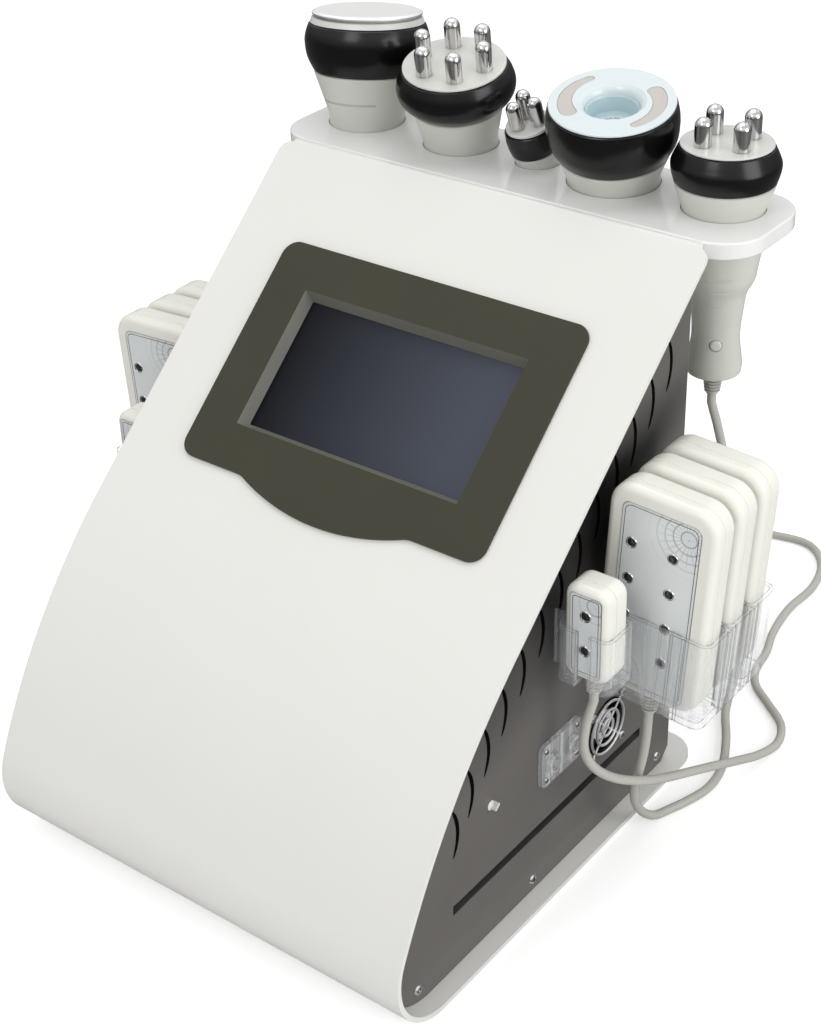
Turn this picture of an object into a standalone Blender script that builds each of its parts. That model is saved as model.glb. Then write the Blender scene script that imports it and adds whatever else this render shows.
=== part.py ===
"""Cavitation slimming machine: a bent sheet console with a touch screen, five handpieces
on a rear shelf, and eight laser pads standing in clear trays at its sides.

Origin: middle of the foot, on the surface it stands on. +X is the operator's right,
+Y points to the back of the machine and +Z up.
"""

import math
from dataclasses import dataclass

import bmesh
import bpy
from mathutils import Matrix, Vector

MM = 0.001
GAP = 0.3 * MM
SLIDE_GAP = 0.8 * MM
OVERRUN = 4 * MM

# Bent sheet shell
SHELL_WIDTH = 300 * MM
SHELL_DEPTH = 296.6 * MM
SHELL_HEIGHT = 360.5 * MM
FOOT_DEPTH = 315 * MM
SHEET = 3 * MM
SLOPE_FOOT = 104.21 * MM
SLOPE = math.atan2(SHELL_HEIGHT - SLOPE_FOOT, SHELL_DEPTH)
BELLY_RADIUS = 400 * MM
NOSE_RADIUS = 42 * MM
TOP_BEND_RADIUS = 3.6 * MM
FLANGE_DROP = 29 * MM
FLANGE_INSET = 8 * MM
FLANGE_CORNER = 8 * MM
TAIL_CORNER = 20 * MM
BELLY_STEPS = 14
NOSE_STEPS = 12
CORNER_STEPS = 5

# Side and rear panels
PANEL = 2 * MM
SIDE_INSET = 11.4 * MM
HEEL_CHAMFER = 8 * MM
SLOT_COUNT = 13
SLOT_LENGTH = 33 * MM
SLOT_WIDTH = 2.8 * MM
SLOT_BULGE = 4 * MM
SLOT_PITCH = 23.45 * MM
SLOT_START = 64 * MM
SLOT_MARGIN = 36.5 * MM
SLOT_STEPS = 4
GROOVE_FRONT = -93 * MM
GROOVE_BACK = 100 * MM
GROOVE_HEIGHT = 45.4 * MM
GROOVE_WIDTH = 6 * MM
GROOVE_DEPTH = 0.9 * MM
SOCKET_RADIUS = 5.2 * MM
SOCKET_CAP = 6.5 * MM
SOCKET_RISE = 2 * MM
SOCKET_PITCH = 31 * MM
PAD_SOCKET_Z = 58 * MM
PAD_SOCKET_X = -124 * MM
PAD_SOCKETS = 8
HANDPIECE_SOCKET_Z = 100 * MM
HANDPIECE_SOCKET_X = -72.5 * MM
HANDPIECE_SOCKETS = 5
SMALL_PAD_SOCKET = 0
LARGE_PAD_SOCKET = 1
HANDPIECE_SOCKET = 2
INLET_X = -92 * MM
INLET_Z = 255 * MM

# Touch screen, measured on the sloping front
SCREEN_DROP = 142 * MM
BEZEL_WIDTH = 216 * MM
BEZEL_LENGTH = 145 * MM
BEZEL_CORNER = 10 * MM
BEZEL_PLATE = 1.5 * MM
BELLY_HALF = 60 * MM
BELLY_SAG = 12.5 * MM
BELLY_FILLET = 15 * MM
WINDOW_WIDTH = 158.5 * MM
WINDOW_LENGTH = 89.7 * MM
WINDOW_TAPER = 3.6 * MM
TUB_WIDTH = 176 * MM
TUB_LENGTH = 108 * MM
TUB_DEPTH = 5.3 * MM
GLASS_MARGIN = 3 * MM
GLASS = 2.5 * MM
MODULE = 8 * MM

# Shelf for the handpieces
SHELF_WIDTH = 330 * MM
SHELF_DEPTH = 82 * MM
SHELF = 10 * MM
SHELF_DROP = 5.1 * MM
SHELF_TOP = SHELL_HEIGHT - SHELF_DROP
SHELF_CORNER = 27 * MM
SHELF_EDGE = 2.5 * MM
LIP_WIDTH = 236 * MM
LIP_DROP = 62 * MM
LIP = 3 * MM
ROW_BACK = 48.4 * MM

# Handpieces
TURN_STEPS = 16
SMALL_TURN_STEPS = 12
PIN_STEPS = 8
NECK_SINK = 18 * MM
SPIGOT_HEIGHT = 8 * MM
SPIGOT_INSET = 9 * MM
RELIEF_LENGTH = 14 * MM
RELIEF_RADIUS = 6 * MM
RELIEF_TIP_RADIUS = 5 * MM
INLET_RECESS = 6 * MM
CORD_RADIUS = 2.75 * MM
BUTTON_RADIUS = 3.5 * MM
BUTTON_LENGTH = 4.2 * MM
BUTTON_PROUD = 0.9 * MM
BUTTON_TRAVEL = 0.8 * MM
SUCTION_RADIUS = 15 * MM
SUCTION_DEPTH = 17 * MM
GRIP_LENGTH = 104 * MM
GRIP_RADIUS = 23.5 * MM
BUTTON_DOWN = 80 * MM
BUTTON_TURN = math.radians(-60)

# Each handpiece: place in the row, tilt forward with lean sideways, and neck's radius,
# then heights and radii of its band from the foot up and of its head, and its pins as
# number, ring, first angle, radius and height
CAVITATION_X = -127.8 * MM
CAVITATION_LEAN = (math.radians(-8), math.radians(-3.5))
CAVITATION_NECK = 23.8 * MM
CAVITATION_BAND = (30.5 * MM, 33 * MM, 48.5 * MM, 38.9 * MM, 60 * MM, 36.3 * MM)
CAVITATION_HEAD = (67.6 * MM, 34.3 * MM)
WIDE_RF_X = -54.8 * MM
WIDE_RF_LEAN = (math.radians(11), math.radians(3.5))
WIDE_RF_NECK = 23 * MM
WIDE_RF_BAND = (27.5 * MM, 27.7 * MM, 40 * MM, 36 * MM, 52.5 * MM, 31.6 * MM)
WIDE_RF_HEAD = (54.4 * MM, 31.1 * MM)
WIDE_RF_PINS = (6, 20.6 * MM, math.radians(7), 4.9 * MM, 18 * MM)
FACIAL_RF_X = 2 * MM
FACIAL_RF_LEAN = (math.radians(18), math.radians(-3.5))
FACIAL_RF_NECK = 13.3 * MM
FACIAL_RF_BAND = (9.8 * MM, 14.3 * MM, 18 * MM, 15.4 * MM, 25.5 * MM, 14.9 * MM)
FACIAL_RF_HEAD = (28 * MM, 13.8 * MM)
FACIAL_RF_PINS = (3, 7.2 * MM, math.radians(5), 4.4 * MM, 17.5 * MM)
FACIAL_RF_GRIP_SCALE = 0.62
VACUUM_RF_X = 54.5 * MM
VACUUM_RF_LEAN = (math.radians(11), math.radians(4))
VACUUM_RF_NECK = 27.3 * MM
VACUUM_RF_BAND = (20.5 * MM, 32.8 * MM, 36 * MM, 38.1 * MM, 50.5 * MM, 36.8 * MM)
VACUUM_RF_HEAD = (52.3 * MM, 36.3 * MM)
BODY_RF_X = 126.8 * MM
BODY_RF_LEAN = (0, 0)
BODY_RF_NECK = 23.7 * MM
BODY_RF_BAND = (16.2 * MM, 28.8 * MM, 27 * MM, 30.9 * MM, 36.8 * MM, 26.7 * MM)
BODY_RF_HEAD = (38.4 * MM, 26.2 * MM)
BODY_RF_PINS = (4, 15.5 * MM, math.radians(-32), 4.9 * MM, 16.5 * MM)

# Laser pads and their clear holders
PAD_WIDTH = 67 * MM
PAD_THICK = 20 * MM
PAD_HEIGHT = 132.5 * MM
PAD_BOTTOM = 127 * MM
PAD_CENTRE_X = 179.2 * MM
PAD_FRONT_Y = 36.2 * MM
PAD_PITCH = 24.7 * MM
PAD_CORNER = 15 * MM
PAD_EDGE = 4.5 * MM
PADS_A_SIDE = 3
PAD_LEAN = math.radians(3.5)
PAD_GLAND_RADIUS = 5.5 * MM
PAD_GLAND_STUB = 3 * MM
PAD_RELIEF_LENGTH = 16 * MM
SMALL_PAD_WIDTH = 28 * MM
SMALL_PAD_THICK = 21 * MM
SMALL_PAD_HEIGHT = 59.5 * MM
SMALL_PAD_BOTTOM = 159.4 * MM
SMALL_PAD_X = 164.4 * MM
SMALL_PAD_Y = 3.9 * MM
SMALL_PAD_CORNER = 8 * MM
SMALL_RELIEF_LENGTH = 13 * MM
CLEAR_WALL = 2.2 * MM
CLEAR_FLOOR = 2.5 * MM
CLEAR_CORNER = 6 * MM
TRAY_RIM = 180 * MM
TRAY_PLAY = 2.3 * MM
NOTCH_WIDTH = 1.5 * MM
NOTCH_DEPTH = 6 * MM
HOLDER_RIM = 191 * MM
HOLDER_SLOT = 8 * MM
FLOOR_HOLE_RADIUS = 8 * MM

# Fan and its bracket neighbour on the right side panel
FAN_Y = 60.5 * MM
FAN_Z = 74.6 * MM
FAN_SIZE = 40 * MM
FAN_DEPTH = 10 * MM
FAN_CORNER = 3 * MM
FAN_BORE = 18.8 * MM
FAN_HUB = 11 * MM
FAN_SHAFT = 2 * MM
FAN_SHAFT_GAP = 0.2 * MM
FAN_BLADES = 7
FAN_TIP_GAP = 0.9 * MM
FAN_BACK = 1.6 * MM
FAN_SPOKE = 3 * MM
ROTOR_CLEAR = 0.5 * MM
BLADE_THICK = 1 * MM
BLADE_PITCH = math.radians(38)
GUARD_RADII = (5.8 * MM, 11.6 * MM, 17.3 * MM)
GUARD_WIRE = 0.85 * MM
GUARD_SPOKE_SHARE = 0.8
GUARD_EYE_SPAN = 16 * MM
GUARD_EYE = 2.2 * MM
BRACKET_Y = 8.6 * MM
BRACKET_Z = 90.5 * MM
BRACKET_WIDTH = 40 * MM
BRACKET_HEIGHT = 29 * MM
BRACKET_PLATE = 2.4 * MM
BRACKET_BOSS = 6 * MM
BRACKET_RISE = 3.2 * MM

# Mains inlet with its rocker
INLET_WIDTH = 28 * MM
INLET_HEIGHT = 58 * MM
INLET_PLATE = 2.5 * MM
INLET_DEEP = 24 * MM
INLET_WALL = 2 * MM
RECESS_WIDTH = 22.5 * MM
RECESS_HEIGHT = 16.5 * MM
RECESS_DEEP = 16 * MM
RECESS_DROP = 12 * MM
ROCKER_WIDTH = 13 * MM
ROCKER_RADIUS = 10 * MM
ROCKER_RISE = 15 * MM
ROCKER_SINK = 4.5 * MM
ROCKER_THROW = math.radians(9)

# What the console holds inside
BOARD = 1.6 * MM
MAIN_BOARD_WIDTH = 180 * MM
MAIN_BOARD_HEIGHT = 96 * MM
MAIN_BOARD_Z = 176 * MM
STANDOFF = 9 * MM
STANDOFF_RADIUS = 3 * MM
STANDOFF_INSET = 8 * MM
PART_RISE = 12 * MM
TALL_PART_SHARES = (-0.36, -0.12, 0.14, 0.36)
SUPPLY_WIDTH = 110 * MM
SUPPLY_DEPTH = 78 * MM
SUPPLY_HEIGHT = 36 * MM
SUPPLY_X = -60 * MM
SUPPLY_Y = 55 * MM
PUMP_RADIUS = 21 * MM
PUMP_LENGTH = 70 * MM
PUMP_HEAD = 46 * MM
PUMP_HEAD_LENGTH = 26 * MM
PUMP_X = 40 * MM
PUMP_Y = -55 * MM

# Cords: hand-chosen route points in millimetres
CORD_STEP = 3
ROUTE_FINENESS = 12
TAIL_SHARES = ((0.3, 0.07), (0.43, 0.25), (0.55, 0.53), (0.68, 0.82), (0.8, 0.95))
CONNECTOR_RADIUS = 7 * MM
CONNECTOR_LENGTH = 30 * MM
CONNECTOR_NOSE = 4 * MM
CONNECTOR_NOSE_RADIUS = 4.6 * MM
FLOOR_REST = 2.9
COIL_PITCH = 6 * MM
COIL_STEPS = 24
SMALL_PAD_ROUTE = [
    (164.4, 3.9, 146.1), (164.4, 3.9, 140.6), (161.8, 1.2, 126), (161, 0.2, 109),
    (164, 3.1, 96.6), (168.4, 13.2, 83.7), (171.9, 31.7, 69.2), (175.9, 57.7, 54.2),
    (179.7, 92, 38.9), (181.8, 117, 27.5), (185, 146, 14.5), (188, 167, 6.5),
    (189.5, 188, FLOOR_REST), (182, 206, FLOOR_REST), (165, 220.5, FLOOR_REST),
    (148.5, 234, FLOOR_REST), (140, 250, FLOOR_REST), (136.5, 271, FLOOR_REST),
    (129, 295, FLOOR_REST), (124.5, 327, FLOOR_REST), (125.5, 360, FLOOR_REST),
    (117, 390, FLOOR_REST), (98, 409, FLOOR_REST), (72, 407, FLOOR_REST),
    (42, 396, FLOOR_REST), (2, 378, FLOOR_REST), (-42, 360, FLOOR_REST),
    (-86, 338, FLOOR_REST), (-118, 308, FLOOR_REST), (-131, 276, FLOOR_REST),
    (-132, 246, FLOOR_REST), (-127.5, 225, 8), (-124.8, 210, 22), (-124, 196.5, 42),
    (-124, 184.5, 54.5), (-124, 171.9, 58), (-124, 166.4, 58),
]
LARGE_PAD_ROUTE = [
    (174.97, 46.2, 110.83), (174.63, 46.2, 105.34), (173.8, 46.6, 92), (172, 47.2, 77.7),
    (169.1, 47.3, 61.8), (165.3, 50.3, 45.8), (162.4, 59, 27.1), (162.4, 71, 12),
    (164, 85, FLOOR_REST), (171, 104, FLOOR_REST), (175.6, 124, FLOOR_REST),
    (172.5, 146, FLOOR_REST), (161, 172, FLOOR_REST), (147, 196, FLOOR_REST),
    (137.5, 220, FLOOR_REST), (124, 255, FLOOR_REST), (106, 282, FLOOR_REST),
    (82, 300, FLOOR_REST), (54, 309, FLOOR_REST), (18, 307, FLOOR_REST),
    (-16, 298, FLOOR_REST), (-38, 292, FLOOR_REST),
]
HANDPIECE_ROUTE_TAIL = [
    (130.5, 191, 214), (134.5, 196, 186), (133.5, 205, 144),
    (127.6, 213, 104), (122.6, 222, 64), (115.5, 231.5, 31), (105, 242.5, 9),
    (91, 254, FLOOR_REST),
]
LARGE_COIL_CENTRE = (-58.5 * MM, 254 * MM)
LARGE_COIL_RADIUS = 36 * MM
LARGE_COIL_TURNS = 2
LARGE_COIL_START = math.radians(90)
HANDPIECE_COIL_CENTRE = (30 * MM, 248 * MM)
HANDPIECE_COIL_RADIUS = 42 * MM
HANDPIECE_COIL_TURNS = 3
HANDPIECE_COIL_START = math.radians(53)

NOSE_Y = -FOOT_DEPTH / 2
TAIL_Y = FOOT_DEPTH / 2
FLANGE_Y = NOSE_Y + SHELL_DEPTH
REAR_Y = FLANGE_Y - SHEET - GAP
SIDE_X = SHELL_WIDTH / 2 - SIDE_INSET
SHELF_FRONT_Y = FLANGE_Y + GAP
ROW_Y = SHELF_FRONT_Y + ROW_BACK


@dataclass
class Handpiece:
    """One handpiece, measured along its own axis up from the top of the shelf."""

    name: str
    x: float
    tilt: float
    lean: float
    neck: float
    band_low: float
    band_low_radius: float
    band_mid: float
    band_mid_radius: float
    band_top: float
    band_top_radius: float
    head_top: float
    head_radius: float
    pins: int = 0
    pin_ring: float = 0.0
    pin_turn: float = 0.0
    pin_radius: float = 0.0
    pin_height: float = 0.0
    grip_scale: float = 1.0
    suction: bool = False
    relief: bool = False


HANDPIECES = [
    Handpiece(
        "cavitation", CAVITATION_X, *CAVITATION_LEAN, CAVITATION_NECK, *CAVITATION_BAND,
        *CAVITATION_HEAD,
    ),
    Handpiece(
        "wide_rf", WIDE_RF_X, *WIDE_RF_LEAN, WIDE_RF_NECK, *WIDE_RF_BAND, *WIDE_RF_HEAD,
        *WIDE_RF_PINS,
    ),
    Handpiece(
        "facial_rf", FACIAL_RF_X, *FACIAL_RF_LEAN, FACIAL_RF_NECK, *FACIAL_RF_BAND,
        *FACIAL_RF_HEAD, *FACIAL_RF_PINS, grip_scale=FACIAL_RF_GRIP_SCALE,
    ),
    Handpiece(
        "vacuum_rf", VACUUM_RF_X, *VACUUM_RF_LEAN, VACUUM_RF_NECK, *VACUUM_RF_BAND,
        *VACUUM_RF_HEAD, suction=True,
    ),
    Handpiece(
        "body_rf", BODY_RF_X, *BODY_RF_LEAN, BODY_RF_NECK, *BODY_RF_BAND, *BODY_RF_HEAD,
        *BODY_RF_PINS, relief=True,
    ),
]
GRIP_SHARES = ((0.25, 0.9), (0.4, 0.68), (0.7, 0.6), (0.93, 0.7), (0.985, 0.68))

scene_parts = bpy.data.collections.new("cavitation_slimming_machine")
scene_cutters = bpy.data.collections.new("cutters")


def clear_scene():
    """Remove what the scene holds and link the two collections."""
    for thing in list(bpy.data.objects):
        bpy.data.objects.remove(thing, do_unlink=True)
    bpy.context.scene.collection.children.link(scene_parts)
    bpy.context.scene.collection.children.link(scene_cutters)


def finish(name, colour, roughness, metallic=0.0, alpha=1.0):
    """A Principled material."""
    made = bpy.data.materials.new(name)
    made.use_nodes = True
    shader = made.node_tree.nodes["Principled BSDF"]
    shader.inputs["Base Color"].default_value = (*colour, 1)
    shader.inputs["Roughness"].default_value = roughness
    shader.inputs["Metallic"].default_value = metallic
    shader.inputs["Alpha"].default_value = alpha
    return made


WHITE_PAINT = finish("white_paint", (0.86, 0.85, 0.82), 0.3)
GREY_PAINT = finish("grey_paint", (0.13, 0.125, 0.12), 0.5)
SHELF_WHITE = finish("shelf_white", (0.88, 0.88, 0.88), 0.25)
BEZEL_BLACK = finish("bezel_black", (0.06, 0.056, 0.048), 0.35)
SCREEN_GLASS = finish("screen_glass", (0.03, 0.035, 0.05), 0.06)
CLEAR = finish("clear_acrylic", (0.93, 0.95, 0.95), 0.05, 0.0, 0.3)
PAD_WHITE = finish("pad_white", (0.88, 0.87, 0.81), 0.4)
GRIP_GREY = finish("grip_grey", (0.66, 0.66, 0.64), 0.35)
BAND_BLACK = finish("band_black", (0.012, 0.012, 0.012), 0.12)
HEAD_PALE = finish("head_pale", (0.78, 0.78, 0.77), 0.3)
CHROME = finish("chrome", (0.8, 0.8, 0.8), 0.1, 1.0)
CORD_GREY = finish("cord_grey", (0.62, 0.61, 0.58), 0.5)
BLACK_PLASTIC = finish("black_plastic", (0.02, 0.02, 0.02), 0.4)
BOARD_GREEN = finish("board_green", (0.03, 0.16, 0.08), 0.45)
STEEL = finish("zinc_steel", (0.6, 0.6, 0.6), 0.35, 1.0)


def add_object(name, mesh, look=None):
    """Link a mesh as a part, or as a hidden cutter when it has no look."""
    made = bpy.data.objects.new(name, mesh)
    if look is None:
        made.hide_render = True
        made.display_type = "WIRE"
        scene_cutters.objects.link(made)
        return made
    mesh.materials.clear()
    mesh.materials.append(look)
    scene_parts.objects.link(made)
    return made


def mesh_from(name, cage):
    """Turn a bmesh into mesh data."""
    mesh = bpy.data.meshes.new(name)
    cage.to_mesh(mesh)
    cage.free()
    return mesh


def block(name, size, centre, look=None):
    """A box of this size round this centre."""
    cage = bmesh.new()
    bmesh.ops.create_cube(cage, size=1)
    bmesh.ops.scale(cage, vec=Vector(size), verts=cage.verts)
    made = add_object(name, mesh_from(name, cage), look)
    made.location = centre
    return made


def rod(name, radius, length, steps, look=None, tip=None):
    """A cylinder or a cone along its own Z, round its middle."""
    cage = bmesh.new()
    bmesh.ops.create_cone(
        cage, cap_ends=True, segments=steps, radius1=radius,
        radius2=radius if tip is None else tip, depth=length,
    )
    return add_object(name, mesh_from(name, cage), look)


def ring_points(radius, steps, centre=(0, 0), turn=0.0):
    """The corners of a round outline."""
    return [
        (
            centre[0] + radius * math.cos(turn + math.tau * k / steps),
            centre[1] + radius * math.sin(turn + math.tau * k / steps),
        )
        for k in range(steps)
    ]


def rounded_points(width, height, radius, steps, centre=(0, 0)):
    """The corners of a rectangle with round corners, counter-clockwise."""
    found = []
    for turn, (right, up) in enumerate(((1, 1), (-1, 1), (-1, -1), (1, -1))):
        for k in range(steps + 1):
            angle = math.pi / 2 * (turn + k / max(steps, 1))
            found.append(
                (
                    centre[0] + right * (width / 2 - radius) + radius * math.cos(angle),
                    centre[1] + up * (height / 2 - radius) + radius * math.sin(angle),
                )
            )
    return found


def flat_solid(name, loops, thickness, look=None):
    """A flat outline, with holes if it has more loops, as thick as this about its own plane."""
    if len(loops) == 1:
        cage = bmesh.new()
        low = [cage.verts.new((x, y, -thickness / 2)) for x, y in loops[0]]
        high = [cage.verts.new((x, y, thickness / 2)) for x, y in loops[0]]
        cage.faces.new(low)
        cage.faces.new(high)
        for k, corner in enumerate(low):
            cage.faces.new((low[k - 1], corner, high[k], high[k - 1]))
        bmesh.ops.remove_doubles(cage, verts=cage.verts, dist=GAP / 100)
        bmesh.ops.recalc_face_normals(cage, faces=cage.faces)
        return add_object(name, mesh_from(name, cage), look)
    curve = bpy.data.curves.new(name, "CURVE")
    curve.dimensions = "2D"
    curve.fill_mode = "BOTH"
    curve.extrude = thickness / 2
    for loop in loops:
        spline = curve.splines.new("POLY")
        spline.points.add(len(loop) - 1)
        for point, place in zip(spline.points, loop):
            point.co = (place[0], place[1], 0, 1)
        spline.use_cyclic_u = True
    return mesh_of_curve(name, curve, look)


def rectangle(width, height, centre):
    """The corners of a plain rectangle."""
    return rounded_points(width, height, 0, 0, centre)


def mesh_of_curve(name, curve, look=None):
    """Make a curve into a mesh object with its caps welded on."""
    drawn = bpy.data.objects.new(name + "_curve", curve)
    scene_cutters.objects.link(drawn)
    graph = bpy.context.evaluated_depsgraph_get()
    mesh = bpy.data.meshes.new_from_object(drawn.evaluated_get(graph))
    bpy.data.objects.remove(drawn, do_unlink=True)
    cage = bmesh.new()
    cage.from_mesh(mesh)
    bmesh.ops.remove_doubles(cage, verts=cage.verts, dist=GAP / 100)
    bmesh.ops.recalc_face_normals(cage, faces=cage.faces)
    bmesh.ops.triangulate(cage, faces=[f for f in cage.faces if len(f.verts) > 4])
    bpy.data.meshes.remove(mesh)
    return add_object(name, mesh_from(name, cage), look)


def turned(name, profile, steps, look=None, closed=False):
    """A solid of revolution about its own Z; the profile is radius and height, top first."""
    mesh = bpy.data.meshes.new(name)
    edges = [(k, k + 1) for k in range(len(profile) - 1)]
    if closed:
        edges.append((len(profile) - 1, 0))
    mesh.from_pydata([(radius, 0, height) for radius, height in profile], edges, [])
    made = add_object(name, mesh, look)
    screw = made.modifiers.new("turn", "SCREW")
    screw.axis = "Z"
    screw.steps = steps
    screw.render_steps = steps
    screw.use_merge_vertices = True
    screw.merge_threshold = GAP / 100
    screw.use_smooth_shade = True
    return made


def combine(whole, other, operation):
    """Cut another object from this one, or join it on."""
    change = whole.modifiers.new(operation.lower() + "_" + other.name, "BOOLEAN")
    change.operation = operation
    change.object = other
    change.solver = "EXACT"


def soften(thing, width, segments=2):
    """Round the edges of a solid."""
    bevel = thing.modifiers.new("round", "BEVEL")
    bevel.width = width
    bevel.segments = segments
    bevel.limit_method = "ANGLE"
    bevel.angle_limit = math.radians(40)
    bevel.harden_normals = False


def place(thing, where, turn=(0, 0, 0), parent=None):
    """Set an object's place and rotation, and what it hangs on."""
    thing.location = where
    thing.rotation_euler = turn
    thing.parent = parent


SIDE_TURN = (math.pi / 2, 0, math.pi / 2)
REAR_TURN = (math.pi / 2, 0, 0)


def belly_geometry():
    """Length of the straight slope, the belly's and nose's centres, and the belly's sweep."""
    down = Vector((-math.cos(SLOPE), -math.sin(SLOPE)))
    inward = Vector((math.sin(SLOPE), -math.cos(SLOPE)))
    corner = Vector((FLANGE_Y, SHELL_HEIGHT))
    nose = Vector((NOSE_Y + NOSE_RADIUS, NOSE_RADIUS))
    offset = corner + inward * BELLY_RADIUS - nose
    along = offset.dot(down)
    reach = along**2 - offset.length_squared + (BELLY_RADIUS - NOSE_RADIUS) ** 2
    straight = -along - math.sqrt(reach)
    belly = corner + down * straight + inward * BELLY_RADIUS
    towards = nose - belly
    sweep = math.atan2(towards.y, towards.x) - (math.pi / 2 + SLOPE)
    return straight, belly, nose, sweep


def front_points(inset):
    """The front's side view from the end of the slope round the nose to the foot."""
    _, belly, nose, sweep = belly_geometry()
    first = math.pi / 2 + SLOPE
    found = []
    for k in range(BELLY_STEPS + 1):
        angle = first + sweep * k / BELLY_STEPS
        radius = BELLY_RADIUS - inset
        found.append((belly.x + radius * math.cos(angle), belly.y + radius * math.sin(angle)))
    rest = 3 * math.pi / 2 - first - sweep
    for k in range(1, NOSE_STEPS + 1):
        angle = first + sweep + rest * k / NOSE_STEPS
        radius = NOSE_RADIUS - inset
        found.append((nose.x + radius * math.cos(angle), nose.y + radius * math.sin(angle)))
    return found


def slope_height(y, inset=0.0):
    """Height of the slope at this y, this far inside its outer face."""
    return SHELL_HEIGHT - (FLANGE_Y - y) * math.tan(SLOPE) - inset / math.cos(SLOPE)


def top_bend(radius, steps):
    """Side view of the bend between the rear flange and the slope, at this radius."""
    middle_y = FLANGE_Y - TOP_BEND_RADIUS
    middle_z = SHELL_HEIGHT - TOP_BEND_RADIUS * (1 + math.sin(SLOPE)) / math.cos(SLOPE)
    found = []
    for k in range(steps + 1):
        angle = (math.pi / 2 + SLOPE) * k / steps
        found.append((middle_y + radius * math.cos(angle), middle_z + radius * math.sin(angle)))
    return found


def shell_rows():
    """Rows of the bent sheet as y, z and half width, from the rear flange to the tail."""
    half = SHELL_WIDTH / 2
    narrow = half - FLANGE_INSET
    low = SHELL_HEIGHT - FLANGE_DROP
    rows = []
    for k in range(CORNER_STEPS + 1):
        angle = math.pi / 2 * k / CORNER_STEPS
        rows.append(
            (
                FLANGE_Y,
                low + FLANGE_CORNER * (1 - math.cos(angle)),
                narrow - FLANGE_CORNER * (1 - math.sin(angle)),
            )
        )
    rows += [(y, z, narrow) for y, z in top_bend(TOP_BEND_RADIUS, CORNER_STEPS)]
    last_y, last_z, _ = rows[-1]
    for k in range(1, CORNER_STEPS + 1):
        angle = math.pi / 2 * k / CORNER_STEPS
        run = FLANGE_INSET * (1 - math.cos(angle))
        rows.append(
            (
                last_y - run * math.cos(SLOPE),
                last_z - run * math.sin(SLOPE),
                narrow + FLANGE_INSET * math.sin(angle),
            )
        )
    rows += [(y, z, half) for y, z in front_points(0)]
    for k in range(CORNER_STEPS + 1):
        angle = math.pi / 2 * k / CORNER_STEPS
        rows.append(
            (
                TAIL_Y - TAIL_CORNER * (1 - math.sin(angle)),
                0,
                half - TAIL_CORNER * (1 - math.cos(angle)),
            )
        )
    return rows


def make_front_shell(slope_frame):
    """One sheet bent from the rear flange, down the front and back under the machine."""
    cage = bmesh.new()
    pairs = [
        (cage.verts.new((-half, y, z)), cage.verts.new((half, y, z)))
        for y, z, half in shell_rows()
    ]
    for (left, right), (next_left, next_right) in zip(pairs, pairs[1:]):
        cage.faces.new((left, right, next_right, next_left))
    bmesh.ops.recalc_face_normals(cage, faces=cage.faces)
    shell = add_object("front_shell", mesh_from("front_shell", cage), WHITE_PAINT)
    skin = shell.modifiers.new("sheet", "SOLIDIFY")
    skin.thickness = SHEET
    skin.offset = -1
    skin.use_even_offset = True
    opening = block(
        "screen_opening",
        (TUB_WIDTH + 2 * GAP, TUB_LENGTH + 2 * GAP, 2 * (SHEET + OVERRUN)),
        (0, 0, 0),
    )
    opening.parent = slope_frame
    combine(shell, opening, "DIFFERENCE")
    return shell


def bezel_outline():
    """A rectangle with round corners whose lower edge swells into a belly."""
    half_length = BEZEL_LENGTH / 2
    swell = (BELLY_HALF**2 + BELLY_SAG**2) / (2 * BELLY_SAG)
    swell_y = swell - BELLY_SAG - half_length
    rise = swell_y + half_length + BELLY_FILLET
    fillet_x = math.sqrt((swell + BELLY_FILLET) ** 2 - rise**2)
    lean = math.atan2(fillet_x, rise)
    found = rounded_points(BEZEL_WIDTH, BEZEL_LENGTH, BEZEL_CORNER, CORNER_STEPS)
    cut = 3 * (CORNER_STEPS + 1)
    belly = []
    for k in range(1, CORNER_STEPS):
        angle = lean * k / CORNER_STEPS
        belly.append(
            (
                -fillet_x + BELLY_FILLET * math.sin(angle),
                -half_length - BELLY_FILLET * (1 - math.cos(angle)),
            )
        )
    for k in range(2 * CORNER_STEPS + 1):
        angle = -lean + lean * k / CORNER_STEPS
        belly.append((swell * math.sin(angle), swell_y - swell * math.cos(angle)))
    for k in range(CORNER_STEPS - 1, 0, -1):
        angle = lean * k / CORNER_STEPS
        belly.append(
            (
                fillet_x - BELLY_FILLET * math.sin(angle),
                -half_length - BELLY_FILLET * (1 - math.cos(angle)),
            )
        )
    return found[:cut] + belly + found[cut:]


def make_screen(slope_frame):
    """The black surround, the touch panel behind its window and the display."""
    bezel = flat_solid("screen_bezel", [bezel_outline()], BEZEL_PLATE, BEZEL_BLACK)
    place(bezel, (0, 0, GAP + BEZEL_PLATE / 2), parent=slope_frame)
    tub = block(
        "bezel_tub",
        (TUB_WIDTH, TUB_LENGTH, TUB_DEPTH + GAP + BEZEL_PLATE / 2),
        (0, 0, (GAP + BEZEL_PLATE / 2 - TUB_DEPTH) / 2),
    )
    tub.parent = slope_frame
    window = window_cutter()
    window.parent = slope_frame
    combine(bezel, tub, "UNION")
    combine(bezel, window, "DIFFERENCE")
    glass_z = -TUB_DEPTH - GAP - GLASS / 2
    glass_size = (TUB_WIDTH - 2 * GLASS_MARGIN, TUB_LENGTH - 2 * GLASS_MARGIN)
    glass = block("touch_panel", (*glass_size, GLASS), (0, 0, glass_z), SCREEN_GLASS)
    glass.parent = slope_frame
    module_z = glass_z - GLASS / 2 - GAP - MODULE / 2
    module = block("display_module", (*glass_size, MODULE), (0, 0, module_z), STEEL)
    soften(module, GLASS_MARGIN / 4)
    module.parent = slope_frame


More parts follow.
